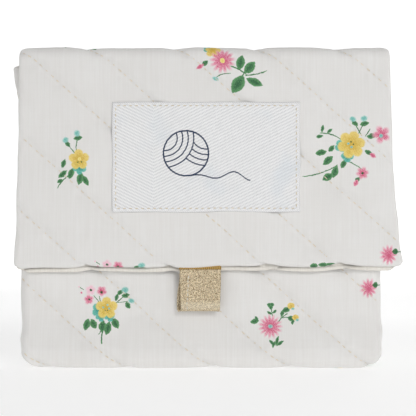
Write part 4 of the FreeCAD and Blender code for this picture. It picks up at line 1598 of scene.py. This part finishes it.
# %% [markdown]
# ## Floor and lamps
#
# The floor is a wide bowl, a profile turned about the upright axis: flat to one metre, then a
# quarter ellipse up, so there is no horizon line from any side. Its paper gives off some light of
# its own, more near the pouch and behind it than in front, so that it is nearly white from the
# front. The key lamp is in front at the upper right, a weak fill is at the left and a rim lamp is
# behind. A dim sky fills the shadows.

# %% Stage
FLOOR_RADIUS, BOWL_SPREAD, BOWL_RISE = 1.0, 0.9, 1.6
FLOOR_RINGS, BOWL_SIDES = 12, 96
climb = np.linspace(0, math.pi / 2, 20)[1:]
radius = np.concatenate([
    np.linspace(0.0, FLOOR_RADIUS, FLOOR_RINGS), FLOOR_RADIUS + BOWL_SPREAD * np.sin(climb)
])
rise = np.concatenate([np.zeros(FLOOR_RINGS), BOWL_RISE * (1 - np.cos(climb))])
angle = np.linspace(0, 2 * math.pi, BOWL_SIDES + 1)[:-1]
bowl = np.stack([
    np.outer(radius, np.cos(angle)), np.outer(radius, np.sin(angle)),
    np.outer(rise, np.ones(BOWL_SIDES)),
], -1).reshape(-1, 3) / MM
step_in = np.arange(len(radius) - 1)[:, None] * BOWL_SIDES
here, beside = np.arange(BOWL_SIDES), (np.arange(BOWL_SIDES) + 1) % BOWL_SIDES
bowl_faces = np.stack([
    (step_in + here).ravel(), (step_in + BOWL_SIDES + here).ravel(),
    (step_in + BOWL_SIDES + beside).ravel(), (step_in + beside).ravel(),
], 1)
paper = Finish("backdrop_paper", Roughness=0.95, Emission_Strength=1.15)
paper_place = paper.node("ShaderNodeTexCoord", (), (), 3)
paper_depth = paper.parts(paper_place)[1]
paper_near = paper.span(paper.length(paper_place), 0.5, 0.2)
paper.feed("Emission Color", paper.mix(
    paper_near * 0.22 + paper.span(paper_depth, 0.05, 0.7) * 0.42 + 0.12,
    (0.0, 0.0, 0.0, 1.0), (1.0, 1.0, 1.0, 1.0)
))
paper.feed("Base Color", paper.mix(
    paper.noise(paper_place, 3.0, 2), colour(222, 222, 222), colour(228, 228, 228)
))
backdrop = new_piece("backdrop", bowl, bowl_faces, paper.material)


def lamp(name, place, power, size, aim=(0, 0, 0.065)):
    """A square area lamp that faces a point."""
    data = bpy.data.lights.new(name, "AREA")
    data.energy, data.size = power, size
    holder = bpy.data.objects.new(name, data)
    holder.location = place
    way = Vector(aim) - Vector(place)
    holder.rotation_euler = way.to_track_quat("-Z", "Y").to_euler()
    bpy.context.scene.collection.objects.link(holder)


lamp("key", (0.50, -1.10, 0.66), 4.65, 0.5)
lamp("fill", (-0.75, -1.1, 0.35), 0.5, 0.8)
lamp("rim", (0.5, 1.2, 0.8), 1.6, 0.6)
sky = bpy.data.worlds.new("sky")
bpy.context.scene.world = sky
sky.use_nodes = True
sky.node_tree.nodes["Background"].inputs["Color"].default_value = (1.0, 1.0, 1.0, 1.0)
sky.node_tree.nodes["Background"].inputs["Strength"].default_value = 0.30
